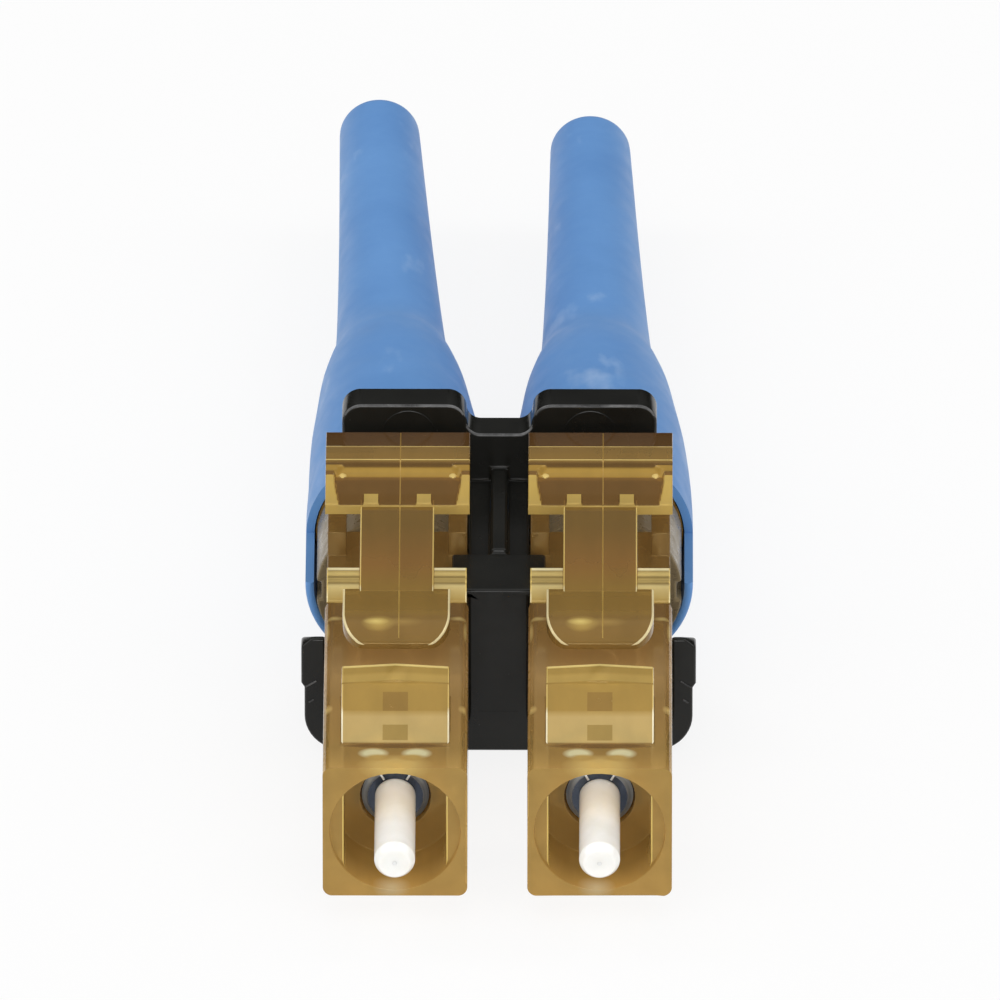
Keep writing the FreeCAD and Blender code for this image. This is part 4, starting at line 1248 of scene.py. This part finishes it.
def make_clip():
    mesh = to_plug(node_mesh("duplex_clip"), 0)
    for vert in mesh.verts:
        if in_panel(vert.co) and vert.co.y > CLIP_FRONT + PANEL_EDGE:
            vert.co.y = CLIP_FRONT + PANEL_DEPTH
    round_clip(mesh)
    mesh.normal_update()
    # The back wall's top front edges get a painted highlight
    for face in mesh.faces:
        centre, normal = face.calc_center_median(), face.normal
        on_rim = abs(centre.y - CLIP_BACK) < RIM_TINT_BAND and centre.z > RIM_TINT_FOOT
        if on_rim and normal.y < -RIM_TINT_TILT and normal.z > RIM_TINT_TILT:
            face.material_index = CLIP_HIGHLIGHT
    shells = [mesh]
    for turn in MIRROR:
        shells += [crease(start, end, turn) for start, end in EAR_CREASES]
        shells.append(back_ring(turn))
    mesh = to_frame(joined(shells), 0)
    piece("pair_clip", mesh, "black_clip", "connector", ["duplex_clip"], CLIP_EXTRAS)


for side, x in SIDES.items():
    make_housing(side, x)
    make_latch(side, x)
    make_ferrule(side, x)
    make_holder(side, x)
    make_spring(side, x)
    make_cam(side, x)
    make_boot(side, x)
make_clip()

# Inner pieces keep their CAD shapes
INNER = {
    "fibre_stub": "fibre_glass",
    "upper_plank": "grey_plank",
    "lower_plank": "grey_plank",
    "backbone": "amber_backbone",
    "crimp_sleeve": "crimp_metal",
}
for side in SIDES:
    for stem, slot in INNER.items():
        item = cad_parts[f"{stem}_{side}"]
        item.data.materials.clear()
        item.data.materials.append(MATERIALS[slot])


# Stage, light and camera

FLOOR_HALF_METRES = 6.0
FLOOR_WHITE = (0.85, 0.85, 0.85, 1)
FLOOR_GLOW_SHARE = 0.85
WHITE = (1, 1, 1, 1)
SKY_BASE, SKY_RISE, SKY_BACK = 0.2, 0.6, -0.4
LENS, SENSOR = 1500.0, 36.0
NEAR_METRES, FAR_METRES = 0.01, 10.0
VIEW_SPAN = 31.0
VIEW_AIM = Vector((0.006, 6.33, 3.08))
ELEVATION, YAW = math.radians(27.7), math.radians(0.2)
LAMP_AIM = (0, 5, 3)
SIDE_LAMP = (60, 240)


def studio_white(tree, lit, seen):
    """Light that looks white to the camera, in reflections and through clear solids."""
    path = tree.nodes.new("ShaderNodeLightPath")
    first = add_node(tree, "ShaderNodeMath", operation="MAXIMUM")
    second = add_node(tree, "ShaderNodeMath", operation="MAXIMUM")
    tree.links.new(path.outputs["Is Camera Ray"], first.inputs[0])
    tree.links.new(path.outputs["Is Glossy Ray"], first.inputs[1])
    tree.links.new(first.outputs[0], second.inputs[0])
    tree.links.new(path.outputs["Is Transmission Ray"], second.inputs[1])
    blend = tree.nodes.new("ShaderNodeMixShader")
    tree.links.new(second.outputs[0], blend.inputs[0])
    tree.links.new(lit, blend.inputs[1])
    tree.links.new(seen, blend.inputs[2])
    return blend.outputs[0]


def make_floor():
    mesh = bmesh.new()
    bmesh.ops.create_grid(mesh, x_segments=1, y_segments=1, size=FLOOR_HALF_METRES)
    floor = add_object("floor", mesh_data("floor", mesh))
    material = bpy.data.materials.new("white_floor")
    material.use_nodes = True
    tree = material.node_tree
    tree.nodes.clear()
    output = tree.nodes.new("ShaderNodeOutputMaterial")
    plain = add_node(tree, "ShaderNodeBsdfDiffuse", Color=FLOOR_WHITE)
    glow = add_node(tree, "ShaderNodeEmission", Color=WHITE, Strength=1.0)
    shade = tree.nodes.new("ShaderNodeMixShader")
    shade.inputs[0].default_value = FLOOR_GLOW_SHARE
    tree.links.new(plain.outputs[0], shade.inputs[1])
    tree.links.new(glow.outputs[0], shade.inputs[2])
    surface = studio_white(tree, plain.outputs[0], shade.outputs[0])
    tree.links.new(surface, output.inputs["Surface"])
    floor.data.materials.append(material)


def make_world():
    """A plain studio: light from above and in front, fainter towards the back."""
    world = bpy.data.worlds.new("studio")
    bpy.context.scene.world = world
    world.use_nodes = True
    tree = world.node_tree
    tree.nodes.clear()
    output = tree.nodes.new("ShaderNodeOutputWorld")
    sky = add_node(tree, "ShaderNodeBackground", Color=WHITE)
    source = tree.nodes.new("ShaderNodeTexCoord")
    split = tree.nodes.new("ShaderNodeSeparateXYZ")
    tree.links.new(source.outputs["Generated"], split.inputs[0])
    above = add_node(tree, "ShaderNodeMath", operation="MULTIPLY_ADD", use_clamp=True)
    above.inputs[1].default_value = SKY_RISE
    above.inputs[2].default_value = SKY_BASE
    tree.links.new(split.outputs["Z"], above.inputs[0])
    front = add_node(tree, "ShaderNodeMath", operation="MULTIPLY_ADD", use_clamp=True)
    front.inputs[1].default_value = SKY_BACK
    tree.links.new(split.outputs["Y"], front.inputs[0])
    tree.links.new(above.outputs[0], front.inputs[2])
    tree.links.new(front.outputs[0], sky.inputs["Strength"])
    tree.links.new(sky.outputs[0], output.inputs["Surface"])


def soft_lamp(name, place, size, power, aim=LAMP_AIM):
    """A soft box; place, aim and size in millimetres, power in watts."""
    light = bpy.data.lights.new(name, "AREA")
    light.shape = "RECTANGLE"
    light.size = size[0] * MM
    light.size_y = size[1] * MM
    light.energy = power
    item = add_object(name, light)
    item.location = Vector(place) * MM
    item.rotation_euler = (Vector(aim) - Vector(place)).to_track_quat("-Z", "Y").to_euler()
    return item


def shine_through(lamps, pieces):
    """Let the lamps through clear pieces to what lies inside them.

    The sky still throws their shadow.
    """
    clear = bpy.data.collections.new("clear_pieces")
    for item in pieces:
        clear.objects.link(item)
    for lamp in lamps:
        lamp.light_linking.blocker_collection = clear
    for entry in clear.collection_objects:
        entry.light_linking.link_state = "EXCLUDE"


def make_camera():
    """A long lens at the photograph's viewing angle."""
    data = bpy.data.cameras.new("camera")
    data.lens = LENS
    data.sensor_width = SENSOR
    data.clip_start = NEAR_METRES
    data.clip_end = FAR_METRES
    item = add_object("camera", data)
    level_part = math.cos(ELEVATION)
    across, ahead = math.sin(YAW) * level_part, math.cos(YAW) * level_part
    back = Vector((across, -ahead, math.sin(ELEVATION)))
    distance = LENS / SENSOR * VIEW_SPAN
    item.location = (VIEW_AIM + back * distance) * MM
    item.rotation_euler = (-back).to_track_quat("-Z", "Y").to_euler()
    bpy.context.scene.camera = item


make_floor()
make_world()
lamps = [
    soft_lamp("overhead", place=(0, 30, 260), size=(260, 260), power=0.07),
    soft_lamp("left_strip", place=(-170, 10, 150), size=SIDE_LAMP, power=0.15),
    soft_lamp("right_strip", place=(170, 10, 150), size=SIDE_LAMP, power=0.13),
    soft_lamp("front", place=(0, -250, 75), size=(160, 100), power=0.2, aim=(0, -12, 3)),
]
shine_through(lamps, [bpy.data.objects[f"plug_shell_{side}"] for side in SIDES])
make_camera()

bpy.context.scene.view_settings.view_transform = "Standard"
